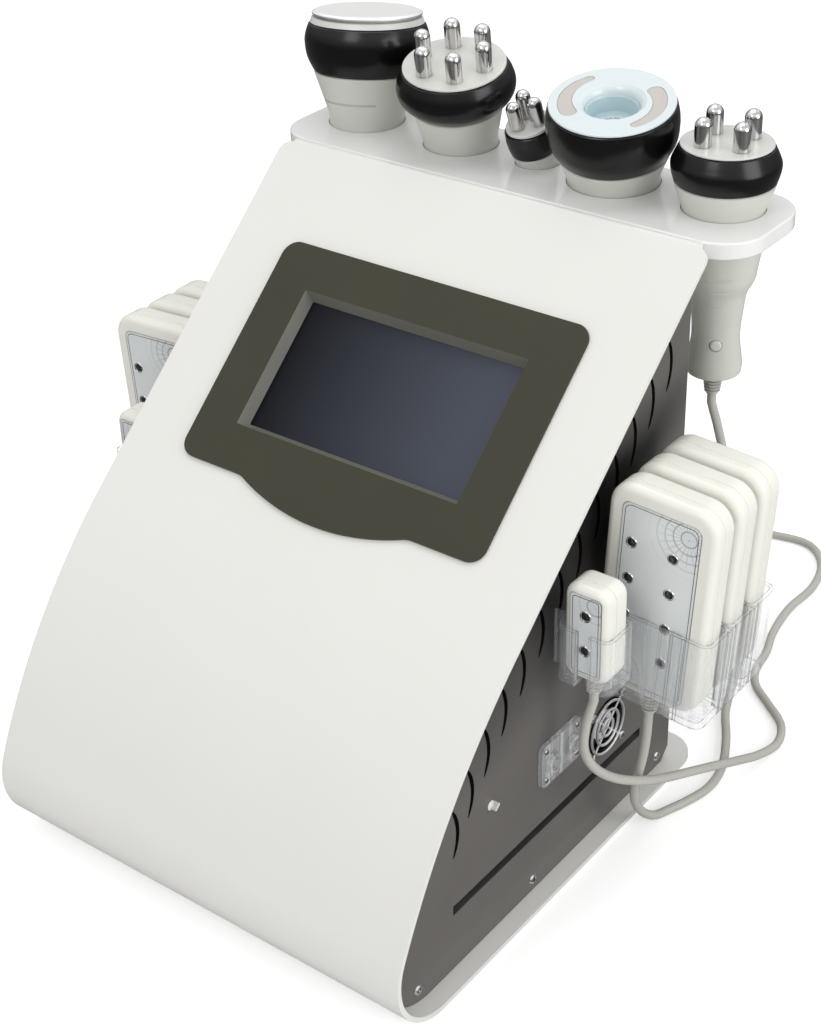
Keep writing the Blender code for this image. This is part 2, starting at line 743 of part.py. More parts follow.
def window_cutter():
    """A tapered block that leaves the surround's window with leaning walls."""
    cage = bmesh.new()
    bmesh.ops.create_cube(cage, size=1)
    depth = TUB_DEPTH + BEZEL_PLATE + GAP
    for corner in cage.verts:
        share = corner.co.z + 1 / 2
        taper = WINDOW_TAPER * (share * (depth + 2 * OVERRUN) - OVERRUN - depth) / depth
        corner.co.x *= WINDOW_WIDTH + 2 * taper
        corner.co.y *= WINDOW_LENGTH + 2 * taper
        corner.co.z *= depth + 2 * OVERRUN
    made = add_object("window_cutter", mesh_from("window_cutter", cage))
    made.location = (0, 0, GAP + BEZEL_PLATE - depth / 2)
    return made


def slot_outline(index):
    """One curved vent, as a crescent that keeps its distance from the front edge."""
    straight, belly, _, _ = belly_geometry()
    along = SLOT_START + index * SLOT_PITCH
    if along <= straight:
        y = FLANGE_Y - along * math.cos(SLOPE) + SLOT_MARGIN * math.sin(SLOPE)
        z = SHELL_HEIGHT - along * math.sin(SLOPE) - SLOT_MARGIN * math.cos(SLOPE)
    else:
        radius = BELLY_RADIUS - SLOT_MARGIN
        angle = math.pi / 2 + SLOPE + (along - straight) / radius
        y = belly.x + radius * math.cos(angle)
        z = belly.y + radius * math.sin(angle)
    right = []
    left = []
    for k in range(SLOT_STEPS + 1):
        share = 2 * k / SLOT_STEPS - 1
        middle = y + SLOT_BULGE * (1 - share**2) - SLOT_BULGE / 2
        half = SLOT_WIDTH / 2 * math.sqrt(1 - share**4)
        height = z + share * SLOT_LENGTH / 2
        right.append((middle + half, height))
        if half > 0:
            left.append((middle - half, height))
    return right + left[::-1]


def panel_outline():
    """The side panel's outline, a gap inside the bent sheet."""
    inset = SHEET + GAP
    return [
        *top_bend(TOP_BEND_RADIUS - inset, 3),
        *front_points(inset),
        (REAR_Y - HEEL_CHAMFER, inset),
        (REAR_Y, inset + HEEL_CHAMFER),
    ]


def make_side_panel(name, side):
    """A flat panel with crescent vents; the right one also has the fan's opening."""
    loops = [panel_outline()] + [slot_outline(k) for k in range(SLOT_COUNT)]
    if side > 0:
        loops.append(ring_points(FAN_BORE, TURN_STEPS, (FAN_Y, FAN_Z)))
    panel = flat_solid(name, loops, PANEL, GREY_PAINT)
    place(panel, (side * (SIDE_X - PANEL / 2), 0, 0), SIDE_TURN)
    groove = block(
        name + "_groove",
        (2 * GROOVE_DEPTH, GROOVE_BACK - GROOVE_FRONT, GROOVE_WIDTH),
        (side * SIDE_X, (GROOVE_BACK + GROOVE_FRONT) / 2, GROOVE_HEIGHT),
    )
    combine(panel, groove, "DIFFERENCE")
    return panel


def socket_places():
    """Where each socket stands on the rear panel, and whether a cord is plugged in."""
    pads = [
        (PAD_SOCKET_X + k * SOCKET_PITCH, PAD_SOCKET_Z, k in (SMALL_PAD_SOCKET, LARGE_PAD_SOCKET))
        for k in range(PAD_SOCKETS)
    ]
    handpieces = [
        (HANDPIECE_SOCKET_X + k * SOCKET_PITCH, HANDPIECE_SOCKET_Z, k == HANDPIECE_SOCKET)
        for k in range(HANDPIECE_SOCKETS)
    ]
    return pads + handpieces


def make_rear_panel():
    """The rear panel with its sockets, the unused ones capped, and the inlet's cut-out."""
    half = SIDE_X - PANEL - GAP
    low = SHEET + GAP
    top = slope_height(REAR_Y - PANEL, SHEET + GAP)
    loops = [[(-half, low), (half, low), (half, top), (-half, top)]]
    inlet_size = (INLET_WIDTH - 2 * INLET_WALL + 2 * GAP, INLET_HEIGHT - 2 * INLET_WALL + 2 * GAP)
    loops.append(rectangle(*inlet_size, (INLET_X, INLET_Z)))
    for x, z, plugged in socket_places():
        if plugged:
            loops.append(ring_points(SOCKET_RADIUS, SMALL_TURN_STEPS, (x, z)))
    panel = flat_solid("rear_panel", loops, PANEL, GREY_PAINT)
    place(panel, (0, REAR_Y - PANEL / 2, 0), REAR_TURN)
    caps = bmesh.new()
    for x, z, plugged in socket_places():
        if not plugged:
            where = Matrix.Translation((x, REAR_Y, z)) @ Matrix.Rotation(math.pi / 2, 4, "X")
            bmesh.ops.create_cone(
                caps, cap_ends=True, segments=PIN_STEPS, radius1=SOCKET_CAP,
                radius2=SOCKET_CAP, depth=2 * SOCKET_RISE, matrix=where,
            )
    combine(panel, add_object("socket_caps", mesh_from("socket_caps", caps)), "UNION")


def make_shelf():
    """The shelf with a hole along each handpiece's own axis, and its mounting lip."""
    middle_y = SHELF_FRONT_Y + SHELF_DEPTH / 2
    shelf = flat_solid(
        "handpiece_shelf",
        [rounded_points(SHELF_WIDTH, SHELF_DEPTH, SHELF_CORNER, CORNER_STEPS)],
        SHELF, SHELF_WHITE,
    )
    place(shelf, (0, middle_y, SHELF_TOP - SHELF / 2))
    soften(shelf, SHELF_EDGE)
    lip = block(
        "shelf_lip",
        (LIP_WIDTH, LIP, LIP_DROP + SHELF / 2),
        (0, SHELF_FRONT_Y + LIP / 2, SHELF_TOP - (SHELF * 3 / 2 + LIP_DROP) / 2),
    )
    combine(shelf, lip, "UNION")
    for piece in HANDPIECES:
        radius = (piece.neck + GAP) / math.cos(math.pi / TURN_STEPS)
        hole = rod(piece.name + "_hole", radius, 4 * SHELF, TURN_STEPS)
        place(hole, (piece.x, ROW_Y, SHELF_TOP), (piece.tilt, piece.lean, 0))
        combine(shelf, hole, "DIFFERENCE")


def seat_rise(piece):
    """How far up its axis a leaning neck stays straight, to clear the shelf's top."""
    angle = math.acos(math.cos(piece.tilt) * math.cos(piece.lean))
    return (piece.neck + GAP) * math.tan(angle) + 2 * GAP


def handle_profile(piece):
    """Radius and height of the handle from its spigot down to its foot."""
    spigot = piece.band_low_radius - SPIGOT_INSET * piece.neck / GRIP_RADIUS
    sink = NECK_SINK + seat_rise(piece)
    profile = [
        (0, piece.band_low + SPIGOT_HEIGHT),
        (spigot, piece.band_low + SPIGOT_HEIGHT),
        (spigot, piece.band_low),
        (piece.band_low_radius, piece.band_low),
        (piece.neck, seat_rise(piece)),
        (piece.neck, -sink),
    ]
    length = GRIP_LENGTH * math.sqrt(piece.grip_scale)
    for down_share, radius_share in GRIP_SHARES:
        height = -sink - (length - sink) * down_share
        profile.append((GRIP_RADIUS * piece.grip_scale * radius_share, height))
    profile.append((GRIP_RADIUS * piece.grip_scale * GRIP_SHARES[-1][1] * 3 / 4, -length))
    profile.append((0, -length))
    return profile


def radius_at(profile, height):
    """Outer radius of a turned profile at this height."""
    for (upper_r, upper), (lower_r, lower) in zip(profile[4:], profile[5:]):
        if lower <= height <= upper and upper > lower:
            return lower_r + (upper_r - lower_r) * (height - lower) / (upper - lower)
    return profile[4][0]


def make_handle(piece, seat):
    """The grey handle, its neck through the shelf, with a pocket for its button."""
    profile = handle_profile(piece)
    handle = turned(piece.name + "_handle", profile, TURN_STEPS, GRIP_GREY)
    handle.parent = seat
    foot = profile[-1][1]
    if piece.relief:
        relief = rod(
            piece.name + "_relief", RELIEF_TIP_RADIUS, 2 * RELIEF_LENGTH, SMALL_TURN_STEPS,
            tip=RELIEF_RADIUS,
        )
        place(relief, (0, 0, foot), parent=seat)
        combine(handle, relief, "UNION")
    else:
        recess = rod(piece.name + "_recess", RELIEF_TIP_RADIUS, 2 * INLET_RECESS, PIN_STEPS)
        place(recess, (0, 0, foot), parent=seat)
        combine(handle, recess, "DIFFERENCE")
    down = -BUTTON_DOWN * math.sqrt(piece.grip_scale)
    face = radius_at(profile, down) + BUTTON_PROUD
    inner = face - BUTTON_LENGTH
    turn = (0, math.pi / 2, BUTTON_TURN)
    way = Vector((math.cos(BUTTON_TURN), math.sin(BUTTON_TURN), 0))
    button = rod(piece.name + "_button", BUTTON_RADIUS, BUTTON_LENGTH, SMALL_TURN_STEPS, GRIP_GREY)
    place(button, way * (face + inner) / 2 + Vector((0, 0, down)), turn, seat)
    floor = inner - BUTTON_TRAVEL - GAP
    pocket = rod(
        piece.name + "_pocket", BUTTON_RADIUS + GAP, face + OVERRUN - floor, SMALL_TURN_STEPS
    )
    place(pocket, way * (face + OVERRUN + floor) / 2 + Vector((0, 0, down)), turn, seat)
    combine(handle, pocket, "DIFFERENCE")


def make_band(piece, seat):
    """The black band, a turned ring between the handle and the head."""
    bore = piece.band_low_radius - SPIGOT_INSET * piece.neck / GRIP_RADIUS + GAP
    low = piece.band_low + GAP
    crown = (piece.band_mid_radius + piece.band_top_radius) / 2
    waist = (piece.band_mid_radius + piece.band_low_radius) / 2
    bulge = (piece.band_mid_radius - piece.band_low_radius) / 4
    profile = [
        (bore, piece.band_top),
        (piece.band_top_radius, piece.band_top),
        (crown + bulge / 2, (piece.band_top + piece.band_mid) / 2),
        (piece.band_mid_radius, piece.band_mid),
        (waist + bulge, (piece.band_mid + low) / 2),
        (piece.band_low_radius, low),
        (bore, low),
    ]
    band = turned(piece.name + "_band", profile, TURN_STEPS, BAND_BLACK, closed=True)
    band.parent = seat


def make_head(piece, seat):
    """The pale head on top of the band, with its electrode pins or its suction cup."""
    low = piece.band_top + GAP
    plug = piece.band_low_radius - SPIGOT_INSET * piece.neck / GRIP_RADIUS
    edge = (piece.head_top - low) / 4
    floor = piece.band_low + SPIGOT_HEIGHT + GAP
    profile = [
        (0, piece.head_top),
        (piece.head_radius - edge, piece.head_top),
        (piece.head_radius, piece.head_top - edge),
        (piece.head_radius, low),
        (plug, low),
        (plug, floor),
        (0, floor),
    ]
    head = turned(piece.name + "_head", profile, TURN_STEPS, HEAD_PALE)
    head.parent = seat
    if piece.suction:
        cup = rod(
            piece.name + "_cup", SUCTION_RADIUS, 2 * SUCTION_DEPTH, TURN_STEPS,
        )
        place(cup, (0, 0, piece.head_top), parent=seat)
        combine(head, cup, "DIFFERENCE")
    if piece.pins:
        pins = make_pins(piece)
        pins.parent = seat
        combine(head, pins, "UNION")


def make_pins(piece):
    """The round-ended pins of a head, as one helper."""
    cage = bmesh.new()
    root = (piece.head_top + piece.band_top) / 2
    top = piece.head_top + piece.pin_height - piece.pin_radius
    for k in range(piece.pins):
        angle = piece.pin_turn + math.tau * k / piece.pins
        where = Vector((math.cos(angle), math.sin(angle), 0)) * piece.pin_ring
        stem = Matrix.Translation(where + Vector((0, 0, (root + top) / 2)))
        bmesh.ops.create_cone(
            cage, cap_ends=True, segments=PIN_STEPS, radius1=piece.pin_radius,
            radius2=piece.pin_radius, depth=top - root, matrix=stem,
        )
    tops = [f for f in cage.faces if f.normal.z > 1 / 2]
    for face in tops:
        grown = bmesh.ops.extrude_discrete_faces(cage, faces=[face])["faces"][0]
        middle = grown.calc_center_median()
        for corner in grown.verts:
            corner.co = middle + (corner.co - middle) * math.sqrt(1 / 2)
            corner.co.z += piece.pin_radius * math.sqrt(1 / 2)
        tip = bmesh.ops.poke(cage, faces=[grown])["verts"][0]
        tip.co.z += piece.pin_radius * (1 - math.sqrt(1 / 2))
    bmesh.ops.recalc_face_normals(cage, faces=cage.faces)
    return add_object(piece.name + "_pins", mesh_from(piece.name + "_pins", cage))


def make_handpiece(piece):
    """All of one handpiece, on an empty at its seat that leans with it."""
    seat = bpy.data.objects.new(piece.name + "_seat", None)
    scene_parts.objects.link(seat)
    place(seat, (piece.x, ROW_Y, SHELF_TOP), (piece.tilt, piece.lean, 0))
    make_handle(piece, seat)
    make_band(piece, seat)
    make_head(piece, seat)


def pad_frame(side):
    """An empty that leans outward round the rim of this side's tray."""
    frame = bpy.data.objects.new(f"pad_frame_{side}", None)
    scene_parts.objects.link(frame)
    pivot = Vector((side * PAD_CENTRE_X, 0, TRAY_RIM))
    turn = Matrix.Rotation(side * PAD_LEAN, 3, "Y")
    place(frame, pivot - turn @ pivot, (0, side * PAD_LEAN, 0))
    return frame


def make_pad(name, size, centre, corner, relief, frame=None):
    """A pad's case with the gland of its cord, or a strain relief, under it."""
    width, thick, height = size
    case = flat_solid(
        name, [rounded_points(width, height, corner, CORNER_STEPS - 1)], thick, PAD_WHITE
    )
    place(case, centre, REAR_TURN, frame)
    soften(case, PAD_EDGE * min(1, thick / PAD_THICK))
    foot = (centre[0], centre[1], centre[2] - height / 2)
    if relief:
        gland = rod(
            name + "_relief", RELIEF_TIP_RADIUS, 2 * relief, SMALL_TURN_STEPS,
            tip=PAD_GLAND_RADIUS,
        )
    else:
        gland = rod(name + "_gland", PAD_GLAND_RADIUS, 2 * PAD_GLAND_STUB, SMALL_TURN_STEPS)
    place(gland, foot, parent=frame)
    combine(case, gland, "UNION")


def make_pads(side, word, frame):
    """One side's three large pads, on the leaning frame, and its small one."""
    for k in range(PADS_A_SIDE):
        make_pad(
            f"large_pad_{word}_{k + 1}",
            (PAD_WIDTH, PAD_THICK, PAD_HEIGHT),
            (
                side * PAD_CENTRE_X,
                PAD_FRONT_Y + PAD_THICK / 2 + k * PAD_PITCH,
                PAD_BOTTOM + PAD_HEIGHT / 2,
            ),
            PAD_CORNER,
            PAD_RELIEF_LENGTH if side > 0 and k == 0 else 0,
            frame,
        )
    make_pad(
        f"small_pad_{word}",
        (SMALL_PAD_WIDTH, SMALL_PAD_THICK, SMALL_PAD_HEIGHT),
        (side * SMALL_PAD_X, SMALL_PAD_Y, SMALL_PAD_BOTTOM + SMALL_PAD_HEIGHT / 2),
        SMALL_PAD_CORNER,
        SMALL_RELIEF_LENGTH if side > 0 else 0,
    )


def notched_outline(low_x, high_x, low_y, high_y, notches):
    """A holder's outer outline, with a notch in its outer wall at each of these places."""
    middle = ((low_x + high_x) / 2, (low_y + high_y) / 2)
    found = rounded_points(high_x - low_x, high_y - low_y, CLEAR_CORNER, CORNER_STEPS - 2, middle)
    for y in notches:
        cut = [
            (high_x, y - NOTCH_WIDTH / 2),
            (high_x - NOTCH_DEPTH, y - NOTCH_WIDTH / 2),
            (high_x - NOTCH_DEPTH, y + NOTCH_WIDTH / 2),
            (high_x, y + NOTCH_WIDTH / 2),
        ]
        found = found + cut
    return found


def make_holder(name, side, pad_x, size, fronts, bottom, rim, play, frame=None):
    """A clear open-topped holder with a pocket a pad, on two webs against the side panel."""
    width, thick, _ = size
    pocket = width + SLIDE_GAP + play
    centre_x = pad_x + (play - SLIDE_GAP) / 2
    low_x = centre_x - pocket / 2 - CLEAR_WALL
    high_x = centre_x + pocket / 2 + CLEAR_WALL
    low_y = fronts[0] - SLIDE_GAP - CLEAR_WALL
    high_y = fronts[-1] + thick + SLIDE_GAP + CLEAR_WALL
    notches = [(back + thick + front) / 2 for back, front in zip(fronts, fronts[1:])]
    base = bottom - GAP - CLEAR_FLOOR
    loops = [notched_outline(low_x, high_x, low_y, high_y, notches)]
    floor_loops = [
        rounded_points(
            high_x - low_x - CLEAR_WALL, high_y - low_y - CLEAR_WALL,
            CLEAR_CORNER - CLEAR_WALL / 2, 2, (centre_x, (low_y + high_y) / 2),
        )
    ]
    for front in fronts:
        y = front + thick / 2
        loops.append(
            rounded_points(
                pocket, thick + 2 * SLIDE_GAP, CLEAR_CORNER - CLEAR_WALL, 2, (centre_x, y)
            )
        )
        floor_loops.append(ring_points(FLOOR_HOLE_RADIUS, SMALL_TURN_STEPS, (pad_x, y)))
    walls = flat_solid(name, mirrored(loops, side), rim - base, CLEAR)
    place(walls, (0, 0, (rim + base) / 2), parent=frame)
    floor = flat_solid(name + "_floor", mirrored(floor_loops, side), CLEAR_FLOOR)
    place(floor, (0, 0, base + CLEAR_FLOOR / 2), parent=frame)
    for notch in notches:
        slit = block(
            name + "_slit",
            (2 * NOTCH_DEPTH, NOTCH_WIDTH, 2 * CLEAR_FLOOR),
            (side * high_x, notch, base),
        )
        slit.parent = frame
        combine(floor, slit, "DIFFERENCE")
    combine(walls, floor, "UNION")
    webs = [(low_y + CLEAR_WALL / 2, CLEAR_CORNER), (high_y - CLEAR_WALL / 2, CLEAR_CORNER)]
    if len(fronts) == 1:
        webs[0] = ((low_y + high_y) / 2, CLEAR_WALL / 2)
    for end, (y, bite) in enumerate(webs):
        reach = low_x - SIDE_X - GAP + bite
        web = block(
            f"{name}_web_{end}",
            (reach, CLEAR_WALL - GAP, rim - base - 2 * GAP),
            (side * (SIDE_X + GAP + reach / 2), y, (rim + base) / 2),
        )
        combine(walls, web, "UNION")
    if len(fronts) == 1:
        slit = block(
            name + "_slit",
            (HOLDER_SLOT, 2 * (fronts[0] + thick / 2 - low_y), 2 * (rim - base)),
            (side * pad_x, low_y, (rim + base) / 2),
        )
        combine(walls, slit, "DIFFERENCE")


def mirrored(loops, side):
    """These outlines, turned over to the other side of the machine when side is minus one."""
    return [[(side * x, y) for x, y in loop] for loop in loops]


def make_pads_and_holders():
    """The tray of the large pads and the holder of the small one, on each side."""
    fronts = [PAD_FRONT_Y + k * PAD_PITCH for k in range(PADS_A_SIDE)]
    for side, word in ((1, "right"), (-1, "left")):
        frame = pad_frame(side)
        make_holder(
            "pad_tray_" + word, side, PAD_CENTRE_X, (PAD_WIDTH, PAD_THICK, PAD_HEIGHT),
            fronts, PAD_BOTTOM, TRAY_RIM, TRAY_PLAY, frame,
        )
        make_holder(
            "small_holder_" + word, side, SMALL_PAD_X,
            (SMALL_PAD_WIDTH, SMALL_PAD_THICK, SMALL_PAD_HEIGHT),
            [SMALL_PAD_Y - SMALL_PAD_THICK / 2], SMALL_PAD_BOTTOM, HOLDER_RIM, SLIDE_GAP,
        )
        make_pads(side, word, frame)


def make_fan():
    """The fan behind the right panel's opening: frame, rotor on its pin, and wire guard."""
    outer_x = SIDE_X - PANEL - GAP
    inner_x = outer_x - FAN_DEPTH
    frame = flat_solid(
        "fan_frame",
        [
            rounded_points(FAN_SIZE, FAN_SIZE, FAN_CORNER, 2, (FAN_Y, FAN_Z)),
            ring_points(FAN_BORE, 2 * SMALL_TURN_STEPS, (FAN_Y, FAN_Z)),
        ],
        FAN_DEPTH, BLACK_PLASTIC,
    )
    place(frame, ((outer_x + inner_x) / 2, 0, 0), SIDE_TURN)
    across = (0, math.pi / 2, 0)
    hub = rod("fan_hub_plate", FAN_HUB, FAN_BACK, SMALL_TURN_STEPS)
    place(hub, (inner_x + FAN_BACK / 2, FAN_Y, FAN_Z), across)
    pin_length = FAN_DEPTH - FAN_BACK / 2
    pin = rod("fan_pin", FAN_SHAFT, pin_length, SMALL_TURN_STEPS)
    place(pin, (inner_x + FAN_BACK / 2 + pin_length / 2, FAN_Y, FAN_Z), across)
    middle = (inner_x + FAN_BACK / 2, FAN_Y, FAN_Z)
    span = FAN_BORE + FAN_SIZE / 2
    bar = block("fan_bar", (FAN_BACK, FAN_SPOKE, span), middle)
    beam = block("fan_beam", (FAN_BACK, span, FAN_SPOKE), middle)
    for helper in (bar, beam, hub, pin):
        combine(frame, helper, "UNION")
    make_fan_rotor(inner_x)
    make_fan_guard()


def make_fan_rotor(inner_x):
    """Hub and pitched blades, with its origin on the spin axis."""
    low = inner_x + FAN_BACK + ROTOR_CLEAR
    high = inner_x + FAN_DEPTH - ROTOR_CLEAR
    depth = high - low
    rotor = flat_solid(
        "fan_rotor",
        [
            ring_points(FAN_HUB, 2 * SMALL_TURN_STEPS),
            ring_points(FAN_SHAFT + FAN_SHAFT_GAP, SMALL_TURN_STEPS),
        ],
        depth, BLACK_PLASTIC,
    )
    place(rotor, ((low + high) / 2, FAN_Y, FAN_Z), SIDE_TURN)
    cage = bmesh.new()
    tip = FAN_BORE - FAN_TIP_GAP
    root = FAN_HUB - BLADE_THICK
    chord = (depth - BLADE_THICK) / math.sin(BLADE_PITCH) * 4 / 5
    for k in range(FAN_BLADES):
        where = (
            Matrix.Rotation(math.tau * k / FAN_BLADES, 4, "Z")
            @ Matrix.Translation(((tip + root) / 2, 0, 0))
            @ Matrix.Rotation(BLADE_PITCH, 4, "X")
            @ Matrix.Diagonal((tip - root, chord, BLADE_THICK, 1))
        )
        bmesh.ops.create_cube(cage, size=1, matrix=where)
    blades = add_object("fan_blades", mesh_from("fan_blades", cage))
    place(blades, ((low + high) / 2, FAN_Y, FAN_Z), SIDE_TURN)
    combine(rotor, blades, "UNION")


def wire_ring(name, radius, look=None):
    """A ring of the guard's wire."""
    curve = bpy.data.curves.new(name, "CURVE")
    curve.dimensions = "3D"
    curve.bevel_depth = GUARD_WIRE
    curve.bevel_resolution = 1
    spline = curve.splines.new("POLY")
    corners = ring_points(radius, SMALL_TURN_STEPS)
    spline.points.add(len(corners) - 1)
    for point, (x, y) in zip(spline.points, corners):
        point.co = (x, y, 0, 1)
    spline.use_cyclic_u = True
    return mesh_of_curve(name, curve, look)


def make_fan_guard():
    """Three wire rings on two crossed wires with an eye at each end."""
    centre = (SIDE_X + GAP + GUARD_WIRE, FAN_Y, FAN_Z)
    guard = wire_ring("fan_guard", GUARD_RADII[-1], CHROME)
    place(guard, centre, SIDE_TURN)
    for k, radius in enumerate(GUARD_RADII[:-1]):
        ring = wire_ring(f"guard_ring_{k}", radius)
        place(ring, centre, SIDE_TURN)
        combine(guard, ring, "UNION")
    span = GUARD_EYE_SPAN * math.sqrt(2)
    for k in range(2):
        lean = math.pi / 4 + k * math.pi / 2
        wire = rod(f"guard_wire_{k}", GUARD_WIRE * GUARD_SPOKE_SHARE, 2 * span, PIN_STEPS)
        place(wire, (centre[0] - k * GAP, *centre[1:]), (lean, 0, 0))
        combine(guard, wire, "UNION")
        for end in (-1, 1):
            eye = rod(f"guard_eye_{k}_{end}", GUARD_EYE, 2 * GUARD_WIRE, PIN_STEPS)
            y = FAN_Y - end * span * math.sin(lean)
            z = FAN_Z + end * span * math.cos(lean)
            place(eye, (centre[0], y, z), (0, math.pi / 2, 0))
            combine(guard, eye, "UNION")


def make_bracket():
    """The spare clear bracket on the right panel, a plate with two round bosses."""
    plate = block(
        "holder_bracket",
        (BRACKET_PLATE, BRACKET_WIDTH, BRACKET_HEIGHT),
        (SIDE_X + GAP + BRACKET_PLATE / 2, BRACKET_Y, BRACKET_Z),
        CLEAR,
    )
    reach = BRACKET_RISE + BRACKET_PLATE / 2
    x = SIDE_X + GAP + (BRACKET_PLATE + reach) / 2
    for end in (-1, 1):
        boss = rod(f"bracket_boss_{end}", BRACKET_BOSS, reach, SMALL_TURN_STEPS)
        place(boss, (x, BRACKET_Y + end * BRACKET_WIDTH / 4, BRACKET_Z), (0, math.pi / 2, 0))
        combine(plate, boss, "UNION")


def make_power_entry():
    """The mains inlet with its rocker switch on the rear panel."""
    inlet = flat_solid(
        "power_inlet",
        [rounded_points(INLET_WIDTH, INLET_HEIGHT, INLET_WALL, 2)],
        INLET_PLATE, BLACK_PLASTIC,
    )
    place(inlet, (INLET_X, REAR_Y + GAP + INLET_PLATE / 2, INLET_Z), REAR_TURN)
    body_depth = INLET_DEEP + INLET_PLATE / 2
    body = block(
        "inlet_body",
        (INLET_WIDTH - 2 * INLET_WALL, body_depth, INLET_HEIGHT - 2 * INLET_WALL),
        (INLET_X, REAR_Y + GAP + INLET_PLATE / 2 - body_depth / 2, INLET_Z),
    )
    combine(inlet, body, "UNION")
    face_y = REAR_Y + GAP + INLET_PLATE
    recess = block(
        "inlet_recess",
        (RECESS_WIDTH, RECESS_DEEP + OVERRUN, RECESS_HEIGHT),
        (INLET_X, face_y + (OVERRUN - RECESS_DEEP) / 2, INLET_Z - RECESS_DROP),
    )
    combine(inlet, recess, "DIFFERENCE")
    pivot = (INLET_X, face_y - ROCKER_SINK, INLET_Z + ROCKER_RISE)
    well = rod("rocker_well", ROCKER_RADIUS + GAP, ROCKER_WIDTH + 2 * GAP, 2 * SMALL_TURN_STEPS)
    place(well, pivot, (0, math.pi / 2, 0))
    combine(inlet, well, "DIFFERENCE")
    low = ROCKER_SINK + OVERRUN / 2
    reach = ROCKER_RADIUS * math.cos(math.pi / 8)
    back = reach * 2 / 3
    dip = ROCKER_SINK * 3 / 5
    rocker = flat_solid(
        "power_switch",
        [[(-reach * 9 / 10, low * 3 / 5), (0, dip), (reach * 9 / 10, low * 3 / 5),
          (reach * 9 / 10, -dip), (reach / 2, -back), (-reach / 2, -back),
          (-reach * 9 / 10, -dip)]],
        ROCKER_WIDTH, BLACK_PLASTIC,
    )
    tilt = Matrix.Rotation(ROCKER_THROW, 3, "X") @ Matrix.Rotation(math.pi / 2, 3, "Y")
    place(rocker, pivot, tilt.to_euler())


def make_board():
    """The main board on four standoffs behind the rear panel, with its tallest parts."""
    face = REAR_Y - PANEL - GAP
    board_y = face - STANDOFF - BOARD / 2
    board = block(
        "main_board",
        (MAIN_BOARD_WIDTH, BOARD, MAIN_BOARD_HEIGHT),
        (0, board_y, MAIN_BOARD_Z),
        BOARD_GREEN,
    )
    for right in (-1, 1):
        for up in (-1, 1):
            post = rod(f"standoff_{right}_{up}", STANDOFF_RADIUS, STANDOFF + BOARD / 2, PIN_STEPS)
            x = right * (MAIN_BOARD_WIDTH / 2 - STANDOFF_INSET)
            z = MAIN_BOARD_Z + up * (MAIN_BOARD_HEIGHT / 2 - STANDOFF_INSET)
            place(post, (x, (face + board_y) / 2, z), (math.pi / 2, 0, 0))
            combine(board, post, "UNION")
    for k, share in enumerate(TALL_PART_SHARES):
        size = (MAIN_BOARD_WIDTH / 8, PART_RISE + BOARD / 2, MAIN_BOARD_HEIGHT / 4)
        where = (
            share * MAIN_BOARD_WIDTH,
            board_y - size[1] / 2,
            MAIN_BOARD_Z + (MAIN_BOARD_HEIGHT / 5 if k % 2 else -MAIN_BOARD_HEIGHT / 6),
        )
        combine(board, block(f"tall_part_{k}", size, where), "UNION")


def make_supply_and_pump():
    """The mains supply and the vacuum pump, both standing on the bent sheet's foot."""
    floor = SHEET + GAP
    supply = block(
        "power_supply",
        (SUPPLY_WIDTH, SUPPLY_DEPTH, SUPPLY_HEIGHT),
        (SUPPLY_X, SUPPLY_Y, floor + SUPPLY_HEIGHT / 2),
        STEEL,
    )
    soften(supply, SHEET / 2)
    head = block(
        "vacuum_pump",
        (PUMP_HEAD_LENGTH, PUMP_HEAD, PUMP_HEAD),
        (PUMP_X, PUMP_Y, floor + PUMP_HEAD / 2),
        BLACK_PLASTIC,
    )
    soften(head, SHEET)
    motor = rod("pump_motor", PUMP_RADIUS, PUMP_LENGTH, 2 * SMALL_TURN_STEPS)
    place(
        motor,
        (PUMP_X + (PUMP_LENGTH + PUMP_HEAD_LENGTH) / 2 - SHEET, PUMP_Y, floor + PUMP_HEAD / 2),
        (0, math.pi / 2, 0),
    )
    combine(head, motor, "UNION")
    cradle = block(
        "pump_cradle",
        (PUMP_LENGTH / 2, PUMP_HEAD, PUMP_HEAD / 2),
        (
            PUMP_X + (PUMP_LENGTH + PUMP_HEAD_LENGTH) / 2, PUMP_Y, floor + PUMP_HEAD / 4
        ),
    )
    combine(head, cradle, "UNION")


def smooth_route(points, spacing):
    """A cord's points: its first and last legs kept straight, a smooth curve between them."""
    fine = []
    for before, start, end, after in zip(points, points[1:], points[2:], points[3:]):
        for k in range(ROUTE_FINENESS):
            share = k / ROUTE_FINENESS
            fine.append(
                start
                + (end - before) * share / 2
                + (before - start * 5 / 2 + end * 2 - after / 2) * share**2
                + (start * 3 / 2 - before / 2 - end * 3 / 2 + after / 2) * share**3
            )
    fine.append(points[-2])
    lengths = [0.0]
    for one, two in zip(fine, fine[1:]):
        lengths.append(lengths[-1] + (two - one).length)
    count = max(2, round(lengths[-1] / spacing))
    found = [points[0]]
    at = 0
    for k in range(count + 1):
        wanted = lengths[-1] * k / count
        while at < len(fine) - 2 and lengths[at + 1] < wanted:
            at += 1
        share = (wanted - lengths[at]) / (lengths[at + 1] - lengths[at])
        where = fine[at].lerp(fine[at + 1], share)
        where.z = max(where.z, FLOOR_REST * MM)
        found.append(where)
    found.append(points[-1])
    return found, length_of(found)


def tube(name, points, resolution=2):
    """A cord's solid through these points."""
    curve = bpy.data.curves.new(name, "CURVE")
    curve.dimensions = "3D"
    curve.bevel_depth = CORD_RADIUS
    curve.bevel_resolution = resolution
    curve.use_fill_caps = True
    spline = curve.splines.new("POLY")
    spline.points.add(len(points) - 1)
    for point, where in zip(spline.points, points):
        point.co = (*where, 1)
    curve.materials.append(CORD_GREY)
    made = bpy.data.objects.new(name, curve)
    scene_parts.objects.link(made)
    return made


